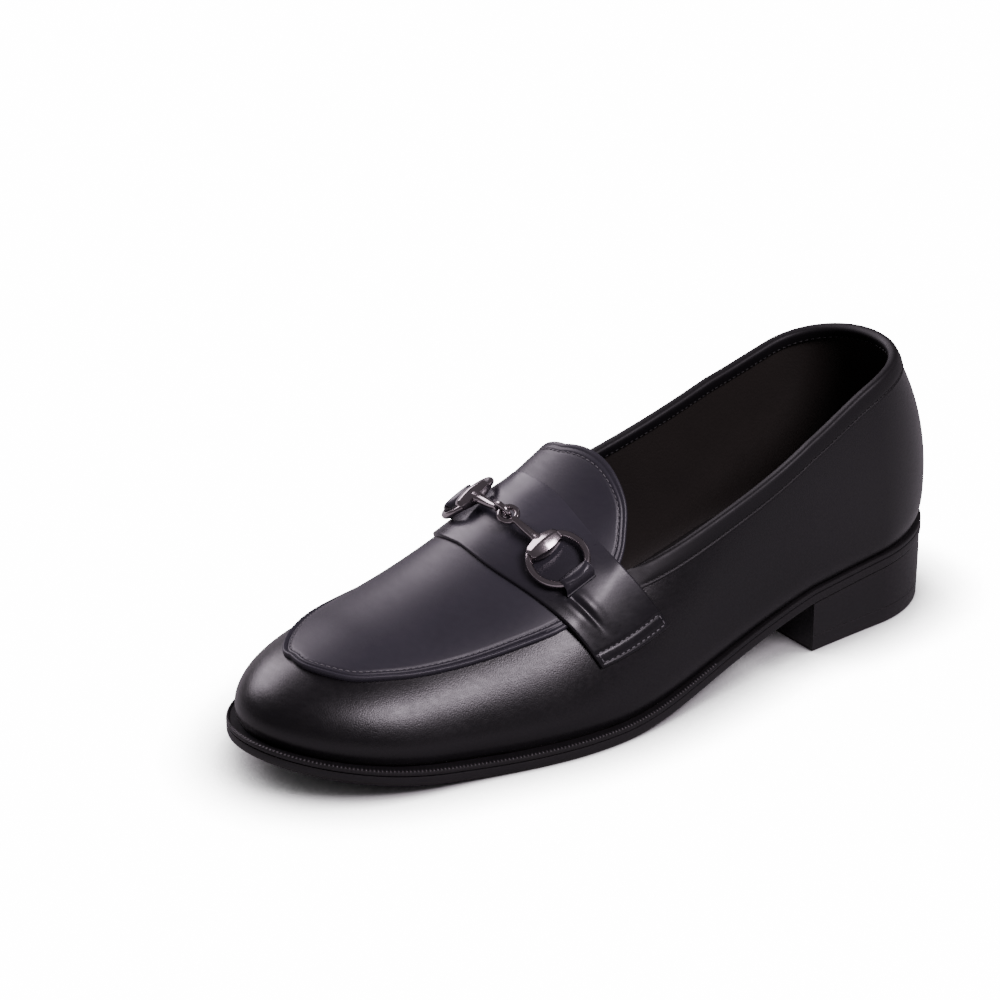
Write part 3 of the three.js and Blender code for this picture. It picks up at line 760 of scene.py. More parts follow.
@dataclass
class RepeatedRow:
    """Stitches or ribs: one small body, many times, made by Geometry Nodes."""

    last: LastShape
    tree: bpy.types.NodeTree
    length: float
    width: float
    height: float
    pitch: float
    across: bool = False

    def build(self, name: str, paths: list[Path], material: bpy.types.Material) -> bpy.types.Object:
        """Makes the row as a plain mesh.

        Args:
            name: Name of the piece.
            paths: Lines to follow.
            material: Material of the bodies.

        Returns:
            The finished object.
        """
        rows = [path.spaced(self.pitch) for path in paths]
        points, along, out = (np.concatenate([row[k] for row in rows]) for k in range(3))
        if self.across:
            along = unit(np.cross(along, out))
        mesh = bpy.data.meshes.new(name)
        mesh.from_pydata(self.last.to_frame(points).tolist(), [], [])
        for title, values in (("along", along), ("out", out)):
            store = mesh.attributes.new(title, "FLOAT_VECTOR", "POINT")
            store.data.foreach_set("vector", values.astype(np.float32).ravel())
        piece = bpy.data.objects.new(name, mesh)
        bpy.context.scene.collection.objects.link(piece)
        modifier = piece.modifiers.new("repeat", "NODES")
        modifier.node_group = self.tree
        values = {
            "Body length": self.length * MM,
            "Body width": self.width * MM,
            "Body height": self.height * MM,
            "Finish": material,
        }
        for item in self.tree.interface.items_tree:
            if item.in_out == "INPUT" and item.name in values:
                modifier[item.identifier] = values[item.name]
        graph = bpy.context.evaluated_depsgraph_get()
        solid = bpy.data.meshes.new_from_object(piece.evaluated_get(graph))
        piece.modifiers.remove(modifier)
        piece.data = solid
        return piece


@dataclass
class Finishes:
    """All materials of the shoe."""

    made: dict[str, bpy.types.Material] = field(default_factory=dict)

    def build(self) -> "Finishes":
        """Builds every finish once."""
        grain = grain_group()
        marks = wear_group()
        leathers = (
            LeatherFinish("vamp_calf", (0.0035, 0.0030, 0.0038), (0.0055, 0.0048, 0.0060), 0.27, 0.00045, 0.6,
                          0.24),
            LeatherFinish("binding_calf", (0.0040, 0.0035, 0.0043), (0.0060, 0.0053, 0.0065), 0.46, 0.0006,
                          0.5, 0.12, specular=0.35),
            LeatherFinish("apron_calf", (0.028, 0.026, 0.035), (0.034, 0.032, 0.042), 0.37, 0.0005,
                          0.3, 0.08, specular=0.42),
            # Painted sheen: the strap and its loops turn paler on top, by height over the floor.
            LeatherFinish("strap_box_calf", (0.0055, 0.0050, 0.0062), (0.050, 0.047, 0.060), 0.24, 0.0005,
                          0.25, 0.06, specular=0.38, rise=(0.047, 0.072)),
            LeatherFinish("black_thread", (0.004, 0.0038, 0.0042), (0.007, 0.0066, 0.0074), 0.5, 0.0003,
                          0.5, 0.3),
            LeatherFinish("lining_calf", (0.014, 0.011, 0.009), (0.019, 0.015, 0.012), 0.62, 0.0009,
                          0.7, 0.4),
            LeatherFinish("sock_leather", (0.010, 0.009, 0.009), (0.015, 0.014, 0.013), 0.55, 0.0008, 0.6,
                          0.3),
            LeatherFinish("edge_ink", (0.0060, 0.0055, 0.0062), (0.009, 0.008, 0.009), 0.44, 0.0011,
                          0.3, 0.2),
            LeatherFinish("heel_black", (0.0060, 0.0055, 0.0062), (0.009, 0.008, 0.009), 0.44, 0.0012, 0.3,
                          0.15),
            # The welt ribs' pale grey is painted sheen, standing in for the highlights along their tops.
            LeatherFinish("welt_rib_painted_sheen", (0.05, 0.047, 0.05), (0.07, 0.066, 0.07), 0.26, 0.0005, 0.5, 0.1),
            # The light grey of the apron, tongue and strap stitches is painted sheen on black thread.
            LeatherFinish("thread_painted_sheen", (0.10, 0.098, 0.105), (0.15, 0.147, 0.155), 0.42, 0.0003,
                          0.5, 0.3),
        )
        for finish in leathers:
            self.made[finish.name] = finish.material(grain, marks)
        self.made["dark_nickel"] = MetalFinish("dark_nickel", (0.40, 0.365, 0.375), 0.13).material(marks)
        return self

    def __getitem__(self, name: str) -> bpy.types.Material:
        """Material by its name."""
        return self.made[name]


@dataclass
class Sole:
    """Outsole, welt, heel and the sock inside."""

    last: LastShape
    stations: int = 220
    taper: float = 1.3
    top_piece: float = 6.0
    sock_level: float = 7.9
    heel_stations: int = 90

    def ring(self, t: np.ndarray, inset: float, level: float) -> np.ndarray:
        """Closed ring of points round the sole, outer side first."""
        outer = self.last.sole_line(t, 1, inset, level)
        inner = self.last.sole_line(t, -1, inset, level)
        return np.concatenate([outer, inner[::-1][1:-1]])

    def close(self, draft: MeshDraft, ring: np.ndarray) -> None:
        """Closes a ring from side to side with straight strips."""
        half = len(ring) // 2 + 1
        outer = ring[:half]
        inner = np.concatenate([ring[:1], ring[half:][::-1], ring[half - 1:half]])
        draft.grid(np.stack([lerp(outer, inner, s) for s in np.linspace(0, 1, 9)]))

    def outsole(self, finishes: Finishes) -> bpy.types.Object:
        """Thin outsole with a sewn channel underneath."""
        t = np.linspace(0, 1, self.stations + 1)
        top = self.last.outsole
        profile = [
            (5.0, top), (0.32, top), (0.08, top - 0.12), (0.0, top - 0.35), (0.0, 1.1),
            (0.06, 0.6), (0.22, 0.2), (0.5, 0.0), (6.4, 0.0), (6.6, 0.28), (7.0, 0.28), (7.2, 0.0),
        ]
        rings = [self.ring(t, inset, level) for inset, level in profile]
        draft = MeshDraft(self.last)
        draft.grid(np.stack(rings), close_columns=True)
        self.close(draft, rings[0])
        self.close(draft, rings[-1])
        return enlist(draft.finish("outsole_leather", finishes["edge_ink"], 40), Slot.SOLE, "outsole")

    def welt(self, finishes: Finishes) -> bpy.types.Object:
        """Welt with a softly rounded upper edge."""
        t = np.linspace(0, 1, self.stations + 1)
        low = self.last.outsole + self.last.clearance
        high = low + self.last.welt
        profile = [
            (6.0, low), (6.0, high), (2.2, high), (1.1, high + 0.04), (0.45, high), (0.12, high - 0.18),
            (0.0, high - 0.5), (0.0, low + 0.35), (0.1, low + 0.12), (0.35, low),
        ]
        rings = [self.ring(t, inset, level) for inset, level in profile]
        draft = MeshDraft(self.last)
        draft.grid(np.stack(rings), close_rows=True, close_columns=True)
        return enlist(draft.finish("welt_strip", finishes["edge_ink"], 40), Slot.SOLE, "welt")

    def ribs(self, finishes: Finishes, tree: bpy.types.NodeTree) -> bpy.types.Object:
        """Fine ribs that the edge wheel leaves on the welt round the forepart."""
        high = self.last.outsole + self.last.clearance + self.last.welt
        start = self.last.station_t(0.42 * self.last.length)
        t = np.linspace(start, 1, 200)
        outer = self.last.sole_line(t, 1, 0.75, high - 0.02)
        inner = self.last.sole_line(t, -1, 0.75, high - 0.02)
        line = np.concatenate([outer, inner[::-1][1:]])
        row = RepeatedRow(self.last, tree, 1.35, 0.85, 0.95, 1.45, across=True)
        piece = row.build("welt_ribs", [Path(line, np.tile([0.0, 0.0, 1.0], (len(line), 1)))],
                          finishes["welt_rib_painted_sheen"])
        return enlist(piece, Slot.SOLE)

    def heel(self, finishes: Finishes) -> bpy.types.Object:
        """Low block with a rubber top piece, cut straight at its breast."""
        last = self.last
        count = self.heel_stations
        t = np.linspace(0, last.station_t(last.heel_length), count)
        drop = last.clearance

        def ring(inset: float, level: float | None) -> np.ndarray:
            """Closed ring at a level, or under the outsole."""
            lines = []
            for side in (1, -1):
                line = last.sole_line(t, side, inset, 0)
                line[:, 0] = np.minimum(line[:, 0], last.heel_length)
                line[-1, 0] = last.heel_length
                line[:, 2] = level if level is not None else last.underside(line[:, 0]) - drop
                lines.append(line)
            return np.concatenate([lines[0], lines[1][::-1][:-1]])

        seam = self.top_piece
        profile = [
            (self.taper + 0.5, 0.0), (self.taper + 0.12, 0.12), (self.taper, 0.5),
            (self.taper - 0.24, seam - 0.15), (self.taper - 0.05, seam), (self.taper - 0.26, seam + 0.15),
            (0.62, 17.0), (0.5, None),
        ]
        rings = [ring(inset, level) for inset, level in profile]
        draft = MeshDraft(last)
        draft.grid(np.stack(rings), close_columns=True)
        for shut in (rings[0], rings[-1]):
            inner = np.concatenate([shut[:1], shut[count:][::-1]])
            draft.grid(np.stack([lerp(shut[:count], inner, s) for s in np.linspace(0, 1, 7)]))
        return enlist(draft.finish("heel_block", finishes["heel_black"], 30), Slot.HEEL, "heel")

    def sock(self, finishes: Finishes) -> bpy.types.Object:
        """Sock lining on the insole, slightly cupped along the wall."""
        last = self.last
        t = np.linspace(0.004, 0.985, 180)
        x = last.station_x(t)

        def ring(inset: float, rise: float, level: float) -> np.ndarray:
            """Ring that stays inside the upper's wall."""
            angle = np.arcsin(np.clip(rise / np.maximum(last.ridge_height(x), 6), 0, 0.9))
            lines = []
            for turned in (angle, math.pi - angle):
                line = last.skin(t, turned, np.full_like(t, -inset))
                line[:, 2] = last.underside(line[:, 0]) + level
                lines.append(line)
            return np.concatenate([lines[0], lines[1][::-1]])

        level = self.sock_level
        rings = [ring(2.5, 1.5, level - 2.4), ring(2.2, 2.6, level + 0.5), ring(2.7, 2.6, level + 0.85),
                 ring(3.6, 2.6, level + 0.6), ring(6.5, 2.6, level + 0.1)]
        draft = MeshDraft(last)
        draft.grid(np.stack(rings), close_columns=True)
        half = len(t)
        for shut in (rings[0], rings[-1]):
            draft.grid(np.stack([lerp(shut[:half], shut[half:][::-1], s) for s in np.linspace(0, 1, 9)]))
        return enlist(draft.finish("sock_lining", finishes["sock_leather"], 60), Slot.LINING, "insole")

    def build(self, finishes: Finishes, tree: bpy.types.NodeTree) -> None:
        """Builds all pieces under the foot."""
        self.outsole(finishes)
        self.welt(finishes)
        self.ribs(finishes, tree)
        self.heel(finishes)
        self.sock(finishes)


@dataclass
class Upper:
    """Vamp and quarters, their lining, the collar's binding and the strip over the back seam."""

    last: LastShape
    wall: float = 1.25
    lining: float = 2.0
    rows: int = 56
    seam: float = 0.35
    seam_per_station: float = 215.0
    binding_end: float = 0.56

    def stations(self) -> tuple[np.ndarray, int]:
        """Stations from heel to toe, and how many of them lie before the throat's end."""
        last = self.last
        collar_t = last.station_t(last.collar_end * last.length)
        near = [0, 0.001, 0.002, 0.0035, 0.0055, 0.008]
        sweep = np.sin(np.linspace(0, QUARTER, 29)[1:])
        throat = last.station_t(lerp(last.collar_end, last.throat, sweep) * last.length)
        front = np.linspace(throat[-1], 1, 131)[1:]
        open_part = np.concatenate([near, np.linspace(0.012, collar_t, 120), throat])
        return np.concatenate([open_part, front]), len(open_part)

    def sheet(self, side: Side, height: float, groove: float) -> np.ndarray:
        """Grid of one side at a height over the form, from the feather edge to the rim or ridge.

        Args:
            side: Side of the shoe.
            height: Height over the form's surface.
            groove: Depth of the seam at the back.

        Returns:
            Grid of points.
        """
        last = self.last
        t, open_count = self.stations()
        x = last.station_x(t)
        top = np.where(np.arange(len(t)) < open_count - 1, last.rim_angle(x, side.value), QUARTER)
        s = np.linspace(0, 1, self.rows + 1)
        lift = top[:, None] * lerp(s, s * s, 0.35)[None, :]
        angle = lift if side is Side.OUTER else np.where((t < 1e-6)[:, None], lift, math.pi - lift)
        tt = np.broadcast_to(t[:, None], angle.shape)
        dip = -groove * np.exp(-(tt * self.seam_per_station / 0.5) ** 2)
        grid = last.skin(tt, angle, height + dip)
        foot = last.point(t, angle[:, 0])
        foot[:, :2] += last.plan_normal(x, side.value) * height
        foot[:, 2] = last.underside(foot[:, 0]) + last.seat_level
        grid[:, 0] = foot
        grid[-1] = foot[-1]
        return grid

    def shell(self, name: str, near: float, far: float, groove: float, material: bpy.types.Material,
              slot: Slot) -> bpy.types.Object:
        """Closed wall between two heights over the form.

        Args:
            name: Name of the piece.
            near: Height of its outer face.
            far: Height of its inner face.
            groove: Depth of the seam at the back.
            material: Its material.
            slot: Its slot of the record.

        Returns:
            The finished piece.
        """
        draft = MeshDraft(self.last)
        open_count = self.stations()[1]
        for side in Side:
            outside = self.sheet(side, near, groove)
            inside = self.sheet(side, far, 0.0)
            draft.grid(outside)
            draft.grid(inside)
            draft.grid(np.stack([outside[:, 0], inside[:, 0]]))
            draft.grid(np.stack([outside[:open_count, -1], inside[:open_count, -1]]))
        return enlist(draft.finish(name, material, 60), slot, "upper")

    def rim_line(self, t: np.ndarray, side: Side, depth: np.ndarray, height: np.ndarray) -> np.ndarray:
        """Points at a depth under the rim and a height over the form.

        Args:
            t: Stations.
            side: Side of the shoe.
            depth: Millimetres below the rim along the surface.
            height: Height over the surface.

        Returns:
            Points with x, y and z.
        """
        angle = self.rim_lift(t, side, depth)
        return self.last.skin(np.broadcast_to(t, angle.shape), angle, np.broadcast_to(height, angle.shape))

    def rim_lift(self, t: np.ndarray, side: Side, depth: np.ndarray) -> np.ndarray:
        """Angle of the form at a depth under the rim."""
        last = self.last
        top = last.rim_angle(last.station_x(t), side.value)
        span = last.point(t, top + 0.01) - last.point(t, top - 0.01)
        lift = top - depth / (np.linalg.norm(span, axis=-1) / 0.02)
        mirrored = np.where(np.broadcast_to(t, lift.shape) < 1e-6, lift, math.pi - lift)
        return lift if side is Side.OUTER else mirrored

    def collar_stations(self, count: int = 170) -> list[tuple[np.ndarray, Side]]:
        """Stations from the strap on the outer side round the heel to the strap inside."""
        end = float(self.last.station_t(self.binding_end * self.last.length))
        outer = np.linspace(end, 0, count)
        return [(outer, Side.OUTER), (outer[::-1][1:], Side.INNER)]

    def binding(self, finishes: Finishes) -> bpy.types.Object:
        """Rolled edge of the collar with the groove that its stitches pull in."""
        last = self.last
        profile = [
            (7.3, 0.04), (7.2, 0.34), (6.9, 0.58), (6.55, 0.6), (6.25, 0.42), (6.0, 0.33), (5.75, 0.42),
            (5.35, 0.74), (4.6, 0.98), (3.0, 1.08), (1.2, 1.1), (0.3, 1.08), (-0.45, 0.86), (-0.9, 0.3),
            (-1.08, -0.5), (-1.08, -1.5), (-0.9, -2.3), (-0.4, -2.85), (0.3, -3.05), (1.2, -3.1),
            (3.2, -3.0), (4.0, -2.85), (4.0, -2.2), (2.0, -2.15), (-0.2, -2.1), (-0.3, -1.0), (-0.2, 0.04),
        ]
        lines = []
        for t, side in self.collar_stations():
            x = last.station_x(t) / last.length
            flat = smoothstep(x, 0.497, 0.53)
            columns = []
            for depth, height in profile:
                low = np.minimum(height, 0.28)
                columns.append(self.rim_line(t, side, np.full_like(t, depth), lerp(height, low, flat)))
            lines.append(np.stack(columns, axis=1))
        sweep = np.concatenate(lines)
        draft = MeshDraft(last)
        draft.grid(sweep, close_columns=True)
        draft.cap(sweep[0])
        draft.cap(sweep[-1])
        return enlist(draft.finish("collar_binding", finishes["binding_calf"], 60), Slot.CALF,
                      "topline_binding")

    def collar_path(self, depth: float, height: float) -> list[Path]:
        """Lines along the collar at one depth and height, up to the strap."""
        end = float(self.last.station_t(0.515 * self.last.length))
        paths = []
        for side in Side:
            t = np.linspace(0.004, end, 220)
            points = self.rim_line(t, side, np.full_like(t, depth), np.full_like(t, height))
            over = self.rim_line(t, side, np.full_like(t, depth), np.full_like(t, height + 1.0))
            paths.append(Path(points, unit(over - points)))
        return paths

    def back_stay(self, finishes: Finishes) -> bpy.types.Object:
        """Small tapered strip over the back seam, below the binding."""
        last = self.last
        top = float(last.rim_angle(np.array(0.0), 1))
        per_turn = float(np.linalg.norm(last.point(0, top) - last.point(0, top - 0.1))) / 0.1
        per_station = float(np.linalg.norm(last.point(0.01, top / 2) - last.point(0, top / 2))) / 0.01
        down = np.linspace(0, 1, 30)
        across = np.array([-1, -0.96, -0.9, -0.8, -0.6, -0.4, -0.2, 0, 0.2, 0.4, 0.6, 0.8, 0.9, 0.96, 1])

        def grid(low: bool) -> np.ndarray:
            """Grid of the strip's upper or lower face."""
            rows = []
            for r in down:
                width = lerp(8.0, 4.5, r) * math.sqrt(max(1 - max(r - 0.9, 0) ** 2 * 60, 0.1))
                t = np.abs(across) * width / per_station
                lift = np.full_like(t, top - (7.4 + r * 22.8) / per_turn)
                angle = np.where((across > 0) | (t < 1e-6), lift, math.pi - lift)
                edge = np.minimum(1 - np.abs(across), min(r, 1 - r) * 3)
                height = 0.3 if low else 0.45 + 0.7 * np.sqrt(np.clip(edge * 8, 0, 1))
                rows.append(last.skin(t, angle, np.full_like(t, height) if low else height))
            return np.stack(rows)

        upper_face = grid(False)
        lower_face = grid(True)
        draft = MeshDraft(last)
        draft.grid(upper_face)
        draft.grid(lower_face)
        for cut in (np.s_[0, :], np.s_[-1, :], np.s_[:, 0], np.s_[:, -1]):
            draft.grid(np.stack([upper_face[cut], lower_face[cut]]))
        return enlist(draft.finish("back_strip", finishes["binding_calf"], 50), Slot.CALF, "back_stay")

    def build(self, finishes: Finishes, tree: bpy.types.NodeTree) -> None:
        """Builds the upper's pieces and their stitches."""
        self.shell("vamp_and_quarters", 0.0, -self.wall, self.seam, finishes["vamp_calf"], Slot.CALF)
        self.shell("quarter_lining", -self.wall - 0.05, -self.lining, 0.0, finishes["lining_calf"],
                   Slot.LINING)
        self.binding(finishes)
        self.back_stay(finishes)
        row = RepeatedRow(self.last, tree, 1.75, 0.5, 0.42, 2.3)
        enlist(row.build("collar_stitches", self.collar_path(6.0, 0.42), finishes["black_thread"]), Slot.CALF)
        inside = self.collar_path(3.4, -3.12)
        enlist(row.build("lining_stitches", inside, finishes["black_thread"]), Slot.LINING)


@dataclass
class Apron:
    """Apron and tongue in one smooth piece, with a rounded lip round the forepart."""

    last: LastShape
    thickness: float = 1.2
    base: float = 0.3
    stitch_inset: float = 3.2
    points_round: int = 460
    inset: float = 6.0
    cell: float = 1.6
    bead_start: float = 0.627
    covered: tuple[float, float] = (0.535, 0.60)

    def __post_init__(self) -> None:
        """Reads the outline's table: spine, outer edge and its turn, inner edge and its turn."""
        rows = np.array([
            (0.511, 0.511, 0.000, 0.511, 0.000), (0.517, 0.502, 0.110, 0.5125, 0.100),
            (0.533, 0.4955, 0.230, 0.513, 0.205), (0.550, 0.496, 0.335, 0.515, 0.305),
            (0.567, 0.502, 0.410, 0.519, 0.385), (0.580, 0.515, 0.465, 0.527, 0.445),
            (0.593, 0.533, 0.515, 0.541, 0.495), (0.613, 0.573, 0.556, 0.576, 0.548),
            (0.647, 0.629, 0.574, 0.629, 0.570), (0.693, 0.689, 0.553, 0.689, 0.545),
            (0.747, 0.753, 0.527, 0.753, 0.505), (0.800, 0.814, 0.483, 0.814, 0.430),
            (0.847, 0.870, 0.414, 0.870, 0.320), (0.877, 0.902, 0.331, 0.902, 0.235),
            (0.904, 0.9255, 0.160, 0.9255, 0.115), (0.928, 0.928, 0.000, 0.928, 0.000),
        ])
        places = np.arange(len(rows))
        run = np.linspace(0, places[-1], 1200)
        self.traces = {}
        for side, column in ((Side.OUTER, 1), (Side.INNER, 3)):
            x = Spline(places, rows[:, column])(run) * self.last.length
            self.traces[side] = np.stack([x, np.maximum(Spline(places, rows[:, column + 1])(run), 0)])

    @property
    def top(self) -> float:
        """Height of the apron's upper face."""
        return self.base + self.thickness

    def turn(self, x: np.ndarray, side: Side) -> np.ndarray:
        """How far down the apron reaches on a side."""
        places, turns = self.traces[side]
        rearmost = int(places.argmin())
        return np.interp(x, places[rearmost:], turns[rearmost:])

    def outline(self) -> np.ndarray:
        """Closed outline in the flat chart of place and arc, evenly spaced."""
        halves = []
        for side in Side:
            x, turn = self.traces[side]
            halves.append(np.stack([x, side.value * turn * self.last.arc(x)], -1))
        loop = np.concatenate([halves[0][::-1], halves[1][1:]])
        run = np.concatenate([[0], np.cumsum(np.linalg.norm(np.diff(loop, axis=0), axis=1))])
        even = np.linspace(0, run[-1], self.points_round, endpoint=False)
        return np.stack([np.interp(even, run, loop[:, k]) for k in range(2)], -1)

    def inward(self, outline: np.ndarray) -> np.ndarray:
        """Direction into the apron at each point of the outline."""
        ahead = np.roll(outline, -3, axis=0) - np.roll(outline, 3, axis=0)
        turned = unit(np.stack([-ahead[:, 1], ahead[:, 0]], -1))
        for _ in range(3):
            turned = unit(np.roll(turned, 1, axis=0) + 2 * turned + np.roll(turned, -1, axis=0))
        centre = outline.mean(axis=0) - outline
        flip = np.sign((turned * centre).sum(axis=1).sum())
        return turned * flip

    def height(self, x: np.ndarray, distance: float) -> np.ndarray:
        """Height of the upper face.

        Args:
            x: Places along the form.
            distance: Distance from the lip.

        Returns:
            Heights over the form.
        """
        lip = [(0, 0.2), (0.05, 0.9), (0.2, 1.55), (0.45, 1.98), (0.8, 2.14), (1.15, 2.0), (1.45, 1.6),
               (1.65, 1.1), (1.85, 0.95), (2.05, 1.15), (2.35, 1.42), (2.75, 1.46), (3.0, 1.3), (3.2, 1.26),
               (3.4, 1.3), (3.7, 1.46), (4.3, 1.5), (6, 1.5)]
        tongue = [(0, 0.45), (0.05, 0.8), (0.2, 1.2), (0.45, 1.44), (0.8, 1.52), (1.15, 1.5), (1.45, 1.4),
                  (1.65, 1.3), (1.85, 1.3), (2.05, 1.38), (2.35, 1.48), (2.75, 1.46), (3.0, 1.3),
                  (3.2, 1.26), (3.4, 1.3), (3.7, 1.46), (4.3, 1.5), (6, 1.5)]
        front = smoothstep(x, self.bead_start * self.last.length + 3, self.bead_start * self.last.length + 10)
        places = [row[0] for row in lip]
        high = np.interp(distance, places, [row[1] for row in lip])
        low = np.interp(distance, places, [row[1] for row in tongue])
        return lerp(low, high, front)

    def chart_point(self, chart: np.ndarray, height: np.ndarray) -> np.ndarray:
        """Point over the form by its place in the flat chart."""
        x = chart[..., 0]
        return self.last.lay(x, chart[..., 1] / self.last.arc(x), height)

    def build(self, finishes: Finishes, tree: bpy.types.NodeTree) -> None:
        """Builds the apron and the stitches along its edge."""
        outline = self.outline()
        inward = self.inward(outline)
        steps = [0, 0.05, 0.2, 0.45, 0.8, 1.15, 1.45, 1.65, 1.85, 2.05, 2.35, 2.75, 3.0, 3.2, 3.4, 3.7, 4.3,
                 self.inset]
        rings = [outline + inward * step for step in steps]
        draft = MeshDraft(self.last)
        tops = [self.chart_point(ring, self.height(ring[:, 0], step)) for ring, step in zip(rings, steps)]
        lows = [self.chart_point(ring, np.full(len(ring), self.base)) for ring in rings]
        lows[0] = self.chart_point(rings[0], np.full(len(outline), 0.12))
        draft.grid(np.stack(tops), close_columns=True)
        draft.grid(np.stack([tops[0], *lows]), close_columns=True)
        inner = rings[-1]
        low, high = inner.min(axis=0), inner.max(axis=0)
        gx, gy = np.meshgrid(np.arange(low[0], high[0], self.cell), np.arange(low[1], high[1], self.cell))
        grid = np.stack([gx.ravel(), gy.ravel()], -1)
        near = np.array([np.linalg.norm(inner - point, axis=1).min() for point in grid])
        grid = grid[near > self.cell * 0.6]
        verts = [Vector(point) for point in np.concatenate([inner, grid])]
        count = len(inner)
        edges = [(k, (k + 1) % count) for k in range(count)]
        filled = delaunay_2d_cdt(verts, edges, [tuple(range(count))], 1, 1e-5)
        chart = np.array([tuple(vert) for vert in filled[0]])
        faces = [tuple(face) for face in filled[2]]
        draft.add(self.chart_point(chart, np.full(len(chart), self.top)), faces)
        draft.add(self.chart_point(chart, np.full(len(chart), self.base)), faces)
        piece = draft.finish("apron_and_tongue", finishes["apron_calf"], 60)
        enlist(piece, Slot.CALF, "apron_tongue")
        line = outline + inward * self.stitch_inset
        height = self.height(line[:, 0], self.stitch_inset) + 0.1
        points = self.chart_point(line, height)
        out = unit(self.chart_point(line, height + 1) - points)
        rear, front = (share * self.last.length for share in self.covered)
        shown = ~((line[:, 0] > rear) & (line[:, 0] < front))
        paths = []
        for part in np.split(np.arange(len(line)), np.flatnonzero(np.diff(shown.astype(int))) + 1):
            if shown[part[0]]:
                paths.append(Path(points[part], out[part]))
        row = RepeatedRow(self.last, tree, 1.7, 0.55, 0.5, 2.35)
        enlist(row.build("apron_stitches", paths, finishes["thread_painted_sheen"]), Slot.CALF)


